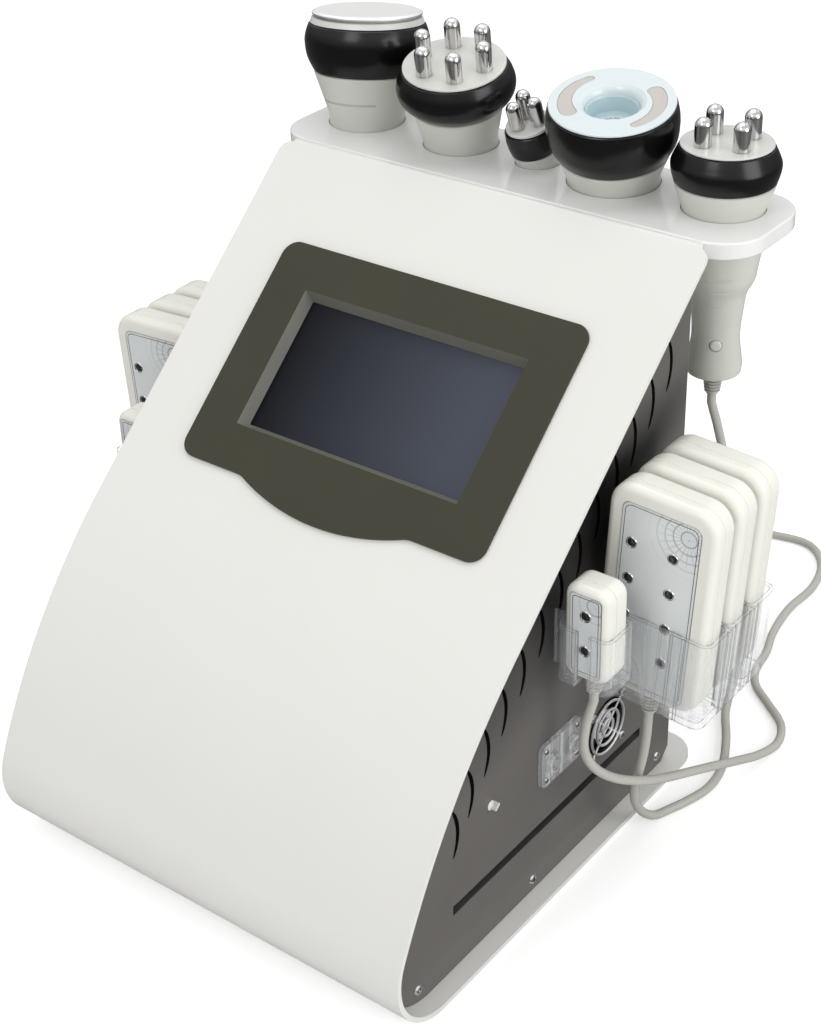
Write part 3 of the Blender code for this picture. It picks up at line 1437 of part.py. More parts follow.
def coil_points(centre, radius, turns, start, leave):
    """A coil of two layers that winds in, climbs where it turns back, and winds out."""
    floor = FLOOR_REST * MM
    climb = math.pi
    inward = math.tau * turns
    outward = inward + (leave - start - climb) % math.tau - math.tau
    total = inward + climb + outward
    count = round(total / math.tau * COIL_STEPS)
    found = []
    for k in range(count + 1):
        turn = total * k / count
        past = turn - inward
        drawn = min(turn, inward + climb / 2) - max(0, past - climb / 2)
        lift = min(1, max(0, past / climb))
        far = radius - COIL_PITCH * drawn / math.tau
        angle = start + turn
        found.append(
            Vector(
                (
                    centre[0] + far * math.cos(angle),
                    centre[1] + far * math.sin(angle),
                    floor + COIL_PITCH * lift,
                )
            )
        )
    return found


def least_gap(points):
    """Least distance of a wound tube's surface to itself, measured on its points."""
    least = math.inf
    skip = COIL_STEPS // 3
    for k, one in enumerate(points):
        for two in points[k + skip:]:
            least = min(least, (two - one).length)
    return least - 2 * CORD_RADIUS


def with_ends(points):
    """The same points with a straight run of one diameter at each end."""
    first = (points[0] - points[1]).normalized() * 2 * CORD_RADIUS
    last = (points[-1] - points[-2]).normalized() * 2 * CORD_RADIUS
    first.z = 0
    last.z = 0
    return [points[0] + first, *points, points[-1] + last]


def make_connector(name, x, z):
    """A round connector plugged into its socket on the rear panel."""
    length = CONNECTOR_LENGTH
    profile = [
        (0, length),
        (CORD_RADIUS * 2, length),
        (CONNECTOR_RADIUS * 4 / 5, length * 3 / 5),
        (CONNECTOR_RADIUS, length / 2),
        (CONNECTOR_RADIUS, 0),
        (CONNECTOR_NOSE_RADIUS, 0),
        (CONNECTOR_NOSE_RADIUS, -CONNECTOR_NOSE),
        (0, -CONNECTOR_NOSE),
    ]
    made = turned(name, profile, SMALL_TURN_STEPS, BLACK_PLASTIC)
    place(made, (x, REAR_Y + GAP, z), (-math.pi / 2, 0, 0))


def report_cord(name, *lengths):
    """Print what a cord measures."""
    print(f"{name}: {sum(lengths):.3f} m")


def length_of(points):
    """Length of a run of points."""
    return sum((two - one).length for one, two in zip(points, points[1:]))


def make_wound_cord(word, route, centre, radius, turns, start, socket):
    """A cord's free stretch, its coil, its tail to the rear panel and its connector."""
    coil = with_ends(coil_points(centre, radius, turns, start, math.pi))
    print(f"coil_{word} least gap {least_gap(coil) / MM:.2f} mm")
    reach = (coil[0] - coil[1]).normalized()
    route = [Vector(point) * MM for point in route]
    meeting = coil[0] + reach * GAP
    route += [meeting + reach * 2 * CORD_RADIUS, meeting]
    free, free_length = smooth_route(route, 2 * CORD_RADIUS * CORD_STEP)
    tube("cord_" + word, free)
    tube("coil_" + word, coil, 1)
    x, z = socket
    leaving = (coil[-1] - coil[-2]).normalized()
    begin = coil[-1] + leaving * GAP
    end = Vector((x, REAR_Y + 2 * GAP + CONNECTOR_LENGTH, z))
    rise = end.z - begin.z
    run = begin.y - end.y
    tail_route = [begin, begin + leaving * 2 * CORD_RADIUS]
    for run_share, rise_share in TAIL_SHARES:
        tail_route.append(
            Vector((begin.x + (x - begin.x) * run_share, begin.y - run * run_share,
                    begin.z + rise * rise_share))
        )
    tail_route += [end + Vector((0, 2 * CORD_RADIUS, 0)), end]
    tail, tail_length = smooth_route(tail_route, 2 * CORD_RADIUS * 2)
    tube("tail_" + word, tail)
    make_connector("connector_" + word, x, z)
    report_cord("cord_" + word, free_length, length_of(coil), tail_length)


def make_cords():
    """The three cords that show: small pad, large pad and four-pin handpiece."""
    x = PAD_SOCKET_X + SMALL_PAD_SOCKET * SOCKET_PITCH
    route = [Vector(point) * MM for point in SMALL_PAD_ROUTE]
    free, length = smooth_route(route, 2 * CORD_RADIUS * CORD_STEP)
    tube("cord_small_pad", free)
    make_connector("connector_small_pad", x, PAD_SOCKET_Z)
    report_cord("cord_small_pad", length)
    make_wound_cord(
        "large_pad", LARGE_PAD_ROUTE, LARGE_COIL_CENTRE, LARGE_COIL_RADIUS,
        LARGE_COIL_TURNS, LARGE_COIL_START,
        (PAD_SOCKET_X + LARGE_PAD_SOCKET * SOCKET_PITCH, PAD_SOCKET_Z),
    )
    piece = HANDPIECES[-1]
    top = (SHELF_TOP + handle_profile(piece)[-1][1] - RELIEF_LENGTH - GAP) / MM
    route = [
        (piece.x / MM, ROW_Y / MM, top),
        (piece.x / MM, ROW_Y / MM, top - 2 * CORD_RADIUS / MM),
        *HANDPIECE_ROUTE_TAIL,
    ]
    make_wound_cord(
        "handpiece", route, HANDPIECE_COIL_CENTRE, HANDPIECE_COIL_RADIUS,
        HANDPIECE_COIL_TURNS, HANDPIECE_COIL_START,
        (HANDPIECE_SOCKET_X + HANDPIECE_SOCKET * SOCKET_PITCH, HANDPIECE_SOCKET_Z),
    )


def main():
    """Build the machine."""
    clear_scene()
    slope_frame = bpy.data.objects.new("slope_frame", None)
    scene_parts.objects.link(slope_frame)
    centre_y = FLANGE_Y - SCREEN_DROP * math.cos(SLOPE)
    place(slope_frame, (0, centre_y, slope_height(centre_y)), (SLOPE, 0, 0))
    make_front_shell(slope_frame)
    make_screen(slope_frame)
    make_side_panel("side_panel_right", 1)
    make_side_panel("side_panel_left", -1)
    make_rear_panel()
    make_shelf()
    for piece in HANDPIECES:
        make_handpiece(piece)
    make_pads_and_holders()
    make_fan()
    make_bracket()
    make_power_entry()
    make_board()
    make_supply_and_pump()
    make_cords()


main()
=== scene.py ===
"""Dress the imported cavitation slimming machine: fine shapes, finishes, cords, light and camera."""

import logging
import math
from dataclasses import dataclass
from enum import Enum

import bmesh
import bpy
from mathutils import Matrix, Vector


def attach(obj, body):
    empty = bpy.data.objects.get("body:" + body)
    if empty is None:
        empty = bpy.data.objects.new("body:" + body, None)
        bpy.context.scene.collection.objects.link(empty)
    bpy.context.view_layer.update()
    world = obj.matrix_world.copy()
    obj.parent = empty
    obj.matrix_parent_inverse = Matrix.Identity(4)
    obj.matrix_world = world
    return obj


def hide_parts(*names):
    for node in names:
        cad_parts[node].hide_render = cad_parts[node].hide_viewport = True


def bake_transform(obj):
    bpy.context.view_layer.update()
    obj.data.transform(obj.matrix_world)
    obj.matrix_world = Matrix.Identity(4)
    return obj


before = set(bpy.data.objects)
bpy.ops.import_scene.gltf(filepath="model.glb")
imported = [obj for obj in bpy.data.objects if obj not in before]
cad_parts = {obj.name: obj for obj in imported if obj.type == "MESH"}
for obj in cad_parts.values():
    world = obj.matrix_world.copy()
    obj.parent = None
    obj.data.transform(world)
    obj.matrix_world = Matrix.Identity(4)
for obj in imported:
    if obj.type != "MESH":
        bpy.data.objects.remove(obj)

log = logging.getLogger("slimming_machine")
MM = 0.001
Colour = tuple[float, float, float]
Loop = list[tuple[float, float]]
Path = list[Vector]


class Side(Enum):
    """The two sides of the console, as signs of X."""

    RIGHT = 1
    LEFT = -1


class Top(Enum):
    """What a handpiece carries on its head."""

    DISC = "a plain polished disc"
    PINS = "round-ended electrode pins"
    CUP = "a suction cup between two electrodes"


# Finishes


class Tree:
    """A node tree, with short ways to add and join its nodes."""

    def __init__(self, tree: bpy.types.NodeTree) -> None:
        """Take over a tree."""
        self.tree = tree

    def add(self, kind: str, inputs: dict | None = None, **settings: object) -> bpy.types.Node:
        """Add a node.

        Args:
            kind: Blender's name of the node.
            inputs: Values or sockets for its inputs, by name or number.
            settings: Its own settings.

        Returns:
            The new node.
        """
        node = self.tree.nodes.new(kind)
        for key, value in settings.items():
            setattr(node, key, value)
        for key, value in (inputs or {}).items():
            self.feed(node.inputs[key], value)
        return node

    def feed(self, socket: bpy.types.NodeSocket, value: object) -> None:
        """Link or set an input.

        Args:
            socket: The input.
            value: The socket that feeds it, or its plain value.
        """
        if isinstance(value, bpy.types.NodeSocket):
            self.tree.links.new(value, socket)
        else:
            socket.default_value = value

    def sum(self, operation: str, *values: object) -> bpy.types.NodeSocket:
        """One step of arithmetic on sockets or numbers."""
        node = self.add("ShaderNodeMath", dict(enumerate(values)), operation=operation)
        return node.outputs[0]

    def mix(self, share: bpy.types.NodeSocket, first: object, second: object) -> object:
        """A mix of two sockets or numbers, with this share of the second one."""
        return self.add("ShaderNodeMix", {0: share, 2: first, 3: second}).outputs[0]

    def span(
        self, value: bpy.types.NodeSocket, low: float, high: float,
        from_low: float = 0.3, from_high: float = 0.7,
    ) -> bpy.types.NodeSocket:
        """A value moved from the range from_low to from_high into low to high, and kept there."""
        inputs = {0: value, 1: from_low, 2: from_high, 3: low, 4: high}
        return self.add("ShaderNodeMapRange", inputs).outputs[0]


class Wiring(Tree):
    """The node tree of one finish."""

    def __init__(self, name: str) -> None:
        """Start a Principled material.

        Args:
            name: Its name.
        """
        self.material = bpy.data.materials.new(name)
        self.material.use_nodes = True
        super().__init__(self.material.node_tree)
        self.shader = self.tree.nodes["Principled BSDF"]
        self.spot = self.add("ShaderNodeTexCoord").outputs["Object"]

    def set(self, **values: object) -> None:
        """Set or link inputs of the shader; an underscore in a name stands for a space."""
        for key, value in values.items():
            self.feed(self.shader.inputs[key.replace("_", " ")], value)

    def stretched(self, scale: tuple[float, float, float]) -> bpy.types.NodeSocket:
        """The object's own coordinates, scaled apart along each axis."""
        return self.add("ShaderNodeMapping", {"Vector": self.spot, "Scale": scale}).outputs[0]

    def noise(
        self, scale: float, detail: float = 3.0, where: bpy.types.NodeSocket | None = None
    ) -> bpy.types.NodeSocket:
        """Grey noise, this many waves in a metre, in the object's coordinates or in these."""
        inputs = {"Vector": where or self.spot, "Scale": scale, "Detail": detail}
        return self.add("ShaderNodeTexNoise", inputs).outputs["Fac"]

    def tint(self, share: object, first: object, second: object) -> bpy.types.NodeSocket:
        """A mix of two colours.

        Args:
            share: How much of the second one.
            first: Colour or socket.
            second: Colour or socket.

        Returns:
            The mixed colour.
        """
        pair = [(*c, 1) if isinstance(c, tuple) else c for c in (first, second)]
        node = self.add("ShaderNodeMix", data_type="RGBA")
        for socket, value in zip((node.inputs[0], node.inputs[6], node.inputs[7]), (share, *pair)):
            self.feed(socket, value)
        return node.outputs[2]

    def emboss(self, height: bpy.types.NodeSocket, depth: float) -> None:
        """Raise the surface by this height, as deep as this in metres."""
        inputs = {"Height": height, "Distance": depth, "Strength": 1.0}
        self.set(Normal=self.add("ShaderNodeBump", inputs).outputs[0])


def shade(colour: Colour, level: float) -> Colour:
    """A darker or lighter shade of a colour."""
    return tuple(min(1, part * level) for part in colour)


@dataclass(frozen=True)
class Coat:
    """Paint or moulded plastic: two close tints, uneven gloss and a fine grain."""

    name: str
    colour: Colour
    roughness: float
    grain: float = 900.0
    depth: float = 0.012 * MM
    mottle: float = 0.035
    gloss: float = 0.0
    shine: float = 0.5

    def base(self, wiring: Wiring) -> bpy.types.NodeSocket:
        """The paint's colour with its clouds and specks.

        Args:
            wiring: The tree it is made in.

        Returns:
            The colour.
        """
        cloud = wiring.tint(
            wiring.span(wiring.noise(14, 4), 0, 1), shade(self.colour, 1 - self.mottle),
            shade(self.colour, 1 + self.mottle),
        )
        speck = wiring.span(wiring.noise(self.grain * 2, 1), 0, self.mottle, 0.55, 0.75)
        return wiring.tint(speck, cloud, shade(self.colour, 0.8))

    def make(self) -> bpy.types.Material:
        """Build this finish.

        Returns:
            Its material.
        """
        wiring = Wiring(self.name)
        smear = wiring.noise(38, 5)
        rough = wiring.span(smear, self.roughness * 0.9, self.roughness * 1.12)
        wiring.set(Base_Color=self.base(wiring), Roughness=rough)
        wiring.set(Specular_IOR_Level=self.shine)
        if self.gloss:
            wiring.set(Coat_Weight=self.gloss, Coat_Roughness=0.06)
        wiring.emboss(wiring.noise(self.grain, 2), self.depth)
        return wiring.material


@dataclass(frozen=True)
class SidePaintWithPaintedShade(Coat):
    """The side panels' paint, with painted shade: darker half way up along the vents, where the pads'
    shade falls.
    """

    # How dark the painted shade goes, and the strip, rise and fall that bound where it lies.
    deep: float = 0.12
    strip: tuple[float, float] = (55 * MM, 85 * MM)
    rise: tuple[float, float] = (110 * MM, 215 * MM)
    fall: tuple[float, float] = (250 * MM, 285 * MM)

    def base(self, wiring: Wiring) -> bpy.types.NodeSocket:
        """The paint's colour, with painted shade along the strip of vents.

        Args:
            wiring: The tree it is made in.

        Returns:
            The colour.
        """
        paint = super().base(wiring)
        apart = wiring.add("ShaderNodeSeparateXYZ", {0: wiring.spot})
        back = wiring.sum("MULTIPLY", apart.outputs[1], math.sin(SIZES.slope))
        down = wiring.sum("MULTIPLY", apart.outputs[2], math.cos(SIZES.slope))
        inward = wiring.sum("SUBTRACT", back, down)
        edge = SIZES.flange_y * math.sin(SIZES.slope) - SIZES.height * math.cos(SIZES.slope)
        # Share of painted shade: a strip along the front edge, fading in with rise and out with fall.
        share = wiring.span(inward, 1, 0, edge + self.strip[0], edge + self.strip[1])
        for start, end, span in ((0, 1, self.rise), (1, 0, self.fall)):
            level = wiring.span(apart.outputs[2], start, end, *span)
            share = wiring.sum("MULTIPLY", share, level)
        return wiring.tint(share, paint, shade(self.colour, self.deep))


@dataclass(frozen=True)
class Metal:
    """Polished, plated or brushed metal, with streaks along one axis."""

    name: str
    colour: Colour
    roughness: float
    streak: tuple[float, float, float] = (1.0, 1.0, 1.0)
    depth: float = 0.002 * MM
    contrast: float = 0.1

    def make(self) -> bpy.types.Material:
        """Build this finish.

        Returns:
            Its material.
        """
        wiring = Wiring(self.name)
        lines = wiring.noise(1300, 3, wiring.stretched(self.streak))
        dull = wiring.tint(wiring.span(lines, 0, 1, 0.38, 0.62), self.colour,
                           shade(self.colour, 1 - self.contrast))
        wiring.set(
            Base_Color=dull, Metallic=1.0,
            Roughness=wiring.span(lines, self.roughness * 0.75, self.roughness * 1.3),
        )
        wiring.emboss(lines, self.depth)
        return wiring.material


@dataclass(frozen=True)
class Clear:
    """Cast acrylic: a pale haze over what is behind it, with fine scuffs."""

    name: str
    colour: Colour
    roughness: float
    haze: float

    def make(self) -> bpy.types.Material:
        """Build this finish.

        Returns:
            Its material.
        """
        wiring = Wiring(self.name)
        scuffs = wiring.noise(420, 6, wiring.stretched((1.0, 1.0, 0.15)))
        rough = wiring.span(scuffs, self.roughness, self.roughness * 3, 0.5, 0.72)
        streaks = wiring.noise(230, 3, wiring.stretched((1.0, 1.0, 0.012)))
        haze = wiring.span(streaks, self.haze * 0.6, min(1, self.haze * 2.4), 0.48, 0.68)
        cast = wiring.tint(wiring.span(wiring.noise(9, 2), 0, 1), self.colour,
                           shade(self.colour, 0.97))
        wiring.set(Base_Color=cast, Roughness=rough, Alpha=haze)
        wiring.emboss(wiring.noise(70, 2), 0.008 * MM)
        return wiring.material


@dataclass(frozen=True)
class Print:
    """A pearly face plate with a drawn pattern of ripples and fine rays."""

    name: str
    colour: Colour
    ink: Colour
    centres: tuple[tuple[float, float, float], ...]

    def motif(self, wiring: Wiring, x: float, z: float, reach: float) -> bpy.types.NodeSocket:
        """Rings crossed by short rays round one centre.

        Args:
            wiring: The tree it is drawn in.
            x: Centre across the plate, in metres.
            z: Centre up the plate.
            reach: Radius at which the lines have faded.

        Returns:
            How much ink is there.
        """
        apart = wiring.add("ShaderNodeSeparateXYZ", {0: wiring.spot})
        across = wiring.sum("SUBTRACT", apart.outputs[0], x)
        up = wiring.sum("SUBTRACT", apart.outputs[2], z)
        far = wiring.sum(
            "SQRT", wiring.sum("ADD", wiring.sum("POWER", across, 2.0), wiring.sum("POWER", up, 2.0))
        )
        angle = wiring.sum("ARCTAN2", up, across)
        wave = wiring.sum("MULTIPLY", wiring.noise(60, 1), 3.0)
        ring = wiring.sum("SINE", wiring.sum("ADD", wiring.sum("MULTIPLY", far, 1300.0), wave))
        rings = wiring.span(ring, 0, 0.9, 0.72, 0.92)
        ray = wiring.sum("ABSOLUTE", wiring.sum("SINE", wiring.sum("MULTIPLY", angle, 11.0)))
        rays = wiring.span(ray, 0, 1, 0.965, 0.995)
        fade = wiring.span(far, 1, 0, reach * 0.25, reach)
        near = wiring.span(far, 1, 0, reach * 0.3, reach * 0.75)
        return wiring.sum(
            "MAXIMUM", wiring.sum("MULTIPLY", rings, fade), wiring.sum("MULTIPLY", rays, near)
        )

    def make(self) -> bpy.types.Material:
        """Build this finish.

        Returns:
            Its material.
        """
        wiring = Wiring(self.name)
        ink = self.motif(wiring, *self.centres[0])
        for centre in self.centres[1:]:
            ink = wiring.sum("MAXIMUM", ink, self.motif(wiring, *centre))
        pearl = wiring.tint(wiring.span(wiring.noise(30, 3), 0, 1), self.colour,
                            shade(self.colour, 0.95))
        wiring.set(
            Base_Color=wiring.tint(ink, pearl, self.ink), Metallic=0.1,
            Roughness=wiring.span(wiring.noise(40, 2), 0.3, 0.34),
        )
        return wiring.material


@dataclass(frozen=True)
class Display:
    """A dark display behind glass, with a painted reflection that makes it lighter and bluer towards
    one side.
    """

    name: str
    colour: Colour
    # The lighter colour is the painted reflection at the far side.
    lighter: Colour
    half: float

    def make(self) -> bpy.types.Material:
        """Build this finish.

        Returns:
            Its material.
        """
        wiring = Wiring(self.name)
        across = wiring.add("ShaderNodeSeparateXYZ", {0: wiring.spot}).outputs[0]
        # Painted reflection: the colour runs from dark to the lighter tint across the glass.
        share = wiring.span(across, 0, 1, -self.half, self.half)
        wiring.set(
            Base_Color=wiring.tint(share, self.colour, self.lighter),
            Roughness=wiring.span(wiring.noise(50, 4), 0.1, 0.14), Specular_IOR_Level=0.05,
        )
        wiring.emboss(wiring.noise(300, 1), 0.001 * MM)
        return wiring.material


@dataclass(frozen=True)
class Circuit:
    """A circuit board: solder mask over a maze of copper tracks."""

    name: str
    colour: Colour

    def make(self) -> bpy.types.Material:
        """Build this finish.

        Returns:
            Its material.
        """
        wiring = Wiring(self.name)
        inputs = {"Vector": wiring.spot, "Scale": 260.0}
        cells = wiring.add("ShaderNodeTexVoronoi", inputs, distance="CHEBYCHEV")
        tracks = wiring.span(cells.outputs["Distance"], 0, 1, 0.42, 0.5)
        wiring.set(
            Base_Color=wiring.tint(tracks, self.colour, shade(self.colour, 1.8)),
            Roughness=wiring.span(wiring.noise(200, 2), 0.35, 0.5),
        )
        wiring.emboss(tracks, 0.03 * MM)
        return wiring.material


class Palette:
    """Every finish of the machine, built once."""

    def __init__(self) -> None:
        """Build the finishes."""
        finishes = (
            Coat("white_powder_coat", (0.82, 0.815, 0.78), 0.33, 500, 0.002 * MM, 0.006),
            SidePaintWithPaintedShade("grey_powder_coat", (0.135, 0.127, 0.12), 0.42, 1100, 0.02 * MM, 0.05),
            Coat("shelf_gloss_white", (0.85, 0.85, 0.84), 0.16, 300, 0.004 * MM, 0.01, 0.5),
            Coat("bezel_olive_black", (0.036, 0.034, 0.0175), 0.42, 1400, 0.01 * MM, 0.08,
                 shine=0.35),
            Coat("pad_ivory", (0.87, 0.86, 0.79), 0.33, 800, 0.006 * MM, 0.012, 0.15),
            Coat("grip_pearl_grey", (0.62, 0.625, 0.575), 0.32, 900, 0.006 * MM, 0.02),
            Coat("band_satin_black", (0.004, 0.004, 0.004), 0.24, 300, 0.002 * MM, 0.2,
                 shine=0.35),
            Coat("head_pale_grey", (0.68, 0.68, 0.645), 0.33, 900, 0.006 * MM, 0.02),
            Coat("head_ice_white", (0.72, 0.79, 0.81), 0.24, 900, 0.006 * MM, 0.015, 0.3),
            Coat("cup_pale_cyan", (0.55, 0.68, 0.72), 0.33, 900, 0.006 * MM, 0.03),
            Coat("electrode_warm_grey", (0.56, 0.53, 0.49), 0.35, 1200, 0.006 * MM, 0.03),
            Coat("cord_warm_grey", (0.5, 0.49, 0.45), 0.42, 1200, 0.01 * MM, 0.03),
            Coat("black_plastic", (0.014, 0.014, 0.015), 0.38, 1100, 0.012 * MM, 0.15),
            Coat("lens_smoke", (0.016, 0.015, 0.017), 0.08, 400, 0.001 * MM, 0.1, 0.8),
            Coat("label_blue", (0.05, 0.16, 0.36), 0.33, 700, 0.002 * MM, 0.05),
            Coat("clip_white", (0.82, 0.82, 0.8), 0.35, 900, 0.004 * MM, 0.02),
            Metal("chrome_plate", (0.78, 0.78, 0.79), 0.09),
            Metal("pin_satin_chrome", (0.9, 0.89, 0.88), 0.15, (0.42, 0.42, 0.012),
                  0.004 * MM, 0.5),
            Metal("spun_aluminium", (0.97, 0.97, 0.96), 0.5, (1.0, 1.0, 14.0)),
            Metal("zinc_steel", (0.6, 0.6, 0.59), 0.38, (1.0, 6.0, 1.0), 0.006 * MM),
            Metal("brass_pin", (0.72, 0.55, 0.28), 0.2),
            Clear("clear_acrylic", (0.86, 0.885, 0.9), 0.05, 0.15),
            Clear("acrylic_edge", (0.42, 0.44, 0.45), 0.12, 0.26),
            Clear("acrylic_bracket", (0.8, 0.82, 0.83), 0.06, 0.32),
            Coat("bezel_reveal", (0.15, 0.148, 0.128), 0.4, 1400, 0.01 * MM, 0.08, shine=0.35),
            Metal("guard_bright", (0.97, 0.97, 0.97), 0.6),
            Coat("channel_shade", (0.014, 0.013, 0.012), 0.5, 1100, 0.01 * MM, 0.05, shine=0.25),
            Coat("vent_black", (0.002, 0.002, 0.002), 0.7, 900, 0.01 * MM, 0.1, shine=0.02),
            Print(
                "plate_print_large", (0.8, 0.83, 0.83), (0.36, 0.39, 0.41),
                ((17 * MM, 50 * MM, 26 * MM), (-18 * MM, -52 * MM, 22 * MM)),
            ),
            Print(
                "plate_print_small", (0.8, 0.83, 0.83), (0.36, 0.39, 0.41),
                ((6 * MM, 20 * MM, 13 * MM),),
            ),
            Display("display_off", (0.006, 0.007, 0.0085), (0.085, 0.094, 0.122), 80 * MM),
            Circuit("circuit_green", (0.02, 0.13, 0.06)),
        )
        self.made = {finish.name: finish.make() for finish in finishes}

    def __getitem__(self, name: str) -> bpy.types.Material:
        """The material of this name."""
        return self.made[name]


# Mesh workshop


def mm(*values: float) -> tuple[float, ...]:
    """Millimetres as metres."""
    return tuple(value * MM for value in values)


def at(x: float, y: float, z: float) -> Matrix:
    """A shift by this much along X, Y and Z."""
    return Matrix.Translation((x, y, z))


def quarter(steps: int) -> Loop:
    """Sine and cosine of evenly spaced angles, from nought to a quarter turn."""
    turns = [math.pi / 2 * k / steps for k in range(steps + 1)]
    return [(math.sin(turn), math.cos(turn)) for turn in turns]


def round_loop(radius: float, steps: int, middle: tuple[float, float] = (0.0, 0.0)) -> Loop:
    """A circle, counter-clockwise.

    Args:
        radius: Its radius.
        steps: How many points.
        middle: Its centre.

    Returns:
        Its points.
    """
    turn = math.tau / steps
    return [
        (middle[0] + radius * math.cos(k * turn), middle[1] + radius * math.sin(k * turn))
        for k in range(steps)
    ]


def box_loop(
    width: float, height: float, radius: float, steps: int = 8,
    middle: tuple[float, float] = (0.0, 0.0),
) -> Loop:
    """A rectangle with round corners, counter-clockwise.

    Args:
        width: Size along the first axis.
        height: Size along the second axis.
        radius: Corner radius.
        steps: Edges in each corner.
        middle: Its centre.

    Returns:
        Its points.
    """
    found = []
    for quarter, (right, up) in enumerate(((1, 1), (-1, 1), (-1, -1), (1, -1))):
        for k in range(steps + 1):
            angle = math.pi / 2 * (quarter + k / steps)
            found.append((
                middle[0] + right * (width / 2 - radius) + radius * math.cos(angle),
                middle[1] + up * (height / 2 - radius) + radius * math.sin(angle),
            ))
    return found


def eased(points: Loop, radius: float, steps: int = 4, closed: bool = False) -> Loop:
    """Round the corners of an outline or a profile.

    Args:
        points: Its corners.
        radius: Rounding, less where a side is short.
        steps: Edges in each rounding.
        closed: Whether the last corner joins the first.

    Returns:
        The rounded points.
    """
    found = []
    last = len(points) - 1
    for k, (x, y) in enumerate(points):
        here = Vector((x, y))
        before = Vector(points[k - 1]) - here
        after = Vector(points[(k + 1) % len(points)]) - here
        if (not closed and k in (0, last)) or min(before.length, after.length) < 1e-7:
            found.append((x, y))
            continue
        angle = before.angle(after)
        if angle > math.radians(172):
            found.append((x, y))
            continue
        cut = min(radius / math.tan(angle / 2), before.length * 0.48, after.length * 0.48)
        start, end = here + before.normalized() * cut, here + after.normalized() * cut
        for step in range(steps + 1):
            t = step / steps
            spot = start * (1 - t) ** 2 + here * 2 * t * (1 - t) + end * t * t
            found.append(tuple(spot))
    return found


def spline(knots: Loop, steps: int) -> Loop:
    """A smooth curve through these points, without the last one.

    Args:
        knots: The points.
        steps: Edges from each point to the next.

    Returns:
        The curve's points.
    """
    found = []
    for k, start in enumerate(knots[:-1]):
        before, end = knots[max(k - 1, 0)], knots[k + 1]
        after = knots[min(k + 2, len(knots) - 1)]
        for step in range(steps):
            t = step / steps
            found.append(tuple(
                0.5 * (2 * start[i] + (end[i] - before[i]) * t
                       + (2 * before[i] - 5 * start[i] + 4 * end[i] - after[i]) * t * t
                       + (3 * start[i] - before[i] - 3 * end[i] + after[i]) * t**3)
                for i in range(2)
            ))
    return found


def width_at(profile: Loop, height: float, beyond: float) -> float:
    """The radius of a profile that runs downwards.

    Args:
        profile: Radius and height of its points.
        height: Where it is asked for.
        beyond: The answer past its ends.

    Returns:
        The radius there.
    """
    for (upper_r, upper), (lower_r, lower) in zip(profile, profile[1:]):
        if lower <= height <= upper and upper > lower:
            return lower_r + (upper_r - lower_r) * (height - lower) / (upper - lower)
    return beyond


def lathe(
    profile: Loop, steps: int = 64, closed: bool = False,
    flutes: tuple[float, float, int, float] | None = None,
) -> bmesh.types.BMesh:
    """A solid of revolution about Z.

    Args:
        profile: Radius and height of each point, the top first.
        steps: Faces round it.
        closed: Whether the profile joins its own start, as a ring's does.
        flutes: Lowest and highest height of a fluted zone, how many, and how deep.

    Returns:
        The mesh, its faces outwards.
    """
    cage = bmesh.new()
    rings = []
    for radius, height in profile:
        if radius < 1e-7:
            rings.append([cage.verts.new((0, 0, height))])
            continue
        ring = []
        for k in range(steps):
            angle = math.tau * k / steps
            reach = radius
            if flutes and flutes[0] <= height <= flutes[1]:
                reach -= flutes[3] * (0.5 - 0.5 * math.cos(flutes[2] * angle))
            ring.append(cage.verts.new((reach * math.cos(angle), reach * math.sin(angle), height)))
        rings.append(ring)
    pairs = list(zip(rings, rings[1:] + rings[:1])) if closed else list(zip(rings, rings[1:]))
    for upper, lower in pairs:
        for k in range(steps):
            corners = [upper[k % len(upper)], upper[(k + 1) % len(upper)],
                       lower[(k + 1) % len(lower)], lower[k % len(lower)]]
            corners = list(dict.fromkeys(corners))
            if len(corners) > 2:
                cage.faces.new(corners)
    bmesh.ops.recalc_face_normals(cage, faces=cage.faces)
    return cage


def rod(radius: float, high: float, low: float, steps: int = 40) -> bmesh.types.BMesh:
    """A round bar about Z, from high down to low, to cut with."""
    return lathe([(0, high), (radius, high), (radius, low), (0, low)], steps)


def washer(inner: float, outer: float, high: float, low: float) -> bmesh.types.BMesh:
    """A flat ring about Z, from high down to low."""
    return lathe([(inner, high), (outer, high), (outer, low), (inner, low)], 48, closed=True)


def loft(loops: list[Path], closed: bool = False) -> bmesh.types.BMesh:
    """A skin over loops of as many points each.

    Args:
        loops: The loops, in order.
        closed: Whether the last loop joins the first; else both ends are capped.

    Returns:
        The mesh, its faces outwards.
    """
    cage = bmesh.new()
    rings = [[cage.verts.new(point) for point in loop] for loop in loops]
    pairs = list(zip(rings, rings[1:] + rings[:1])) if closed else list(zip(rings, rings[1:]))
    for one, two in pairs:
        for k in range(len(one)):
            cage.faces.new((one[k - 1], one[k], two[k], two[k - 1]))
    if not closed:
        cage.faces.new(rings[0])
        cage.faces.new(rings[-1])
    bmesh.ops.recalc_face_normals(cage, faces=cage.faces)
    return cage


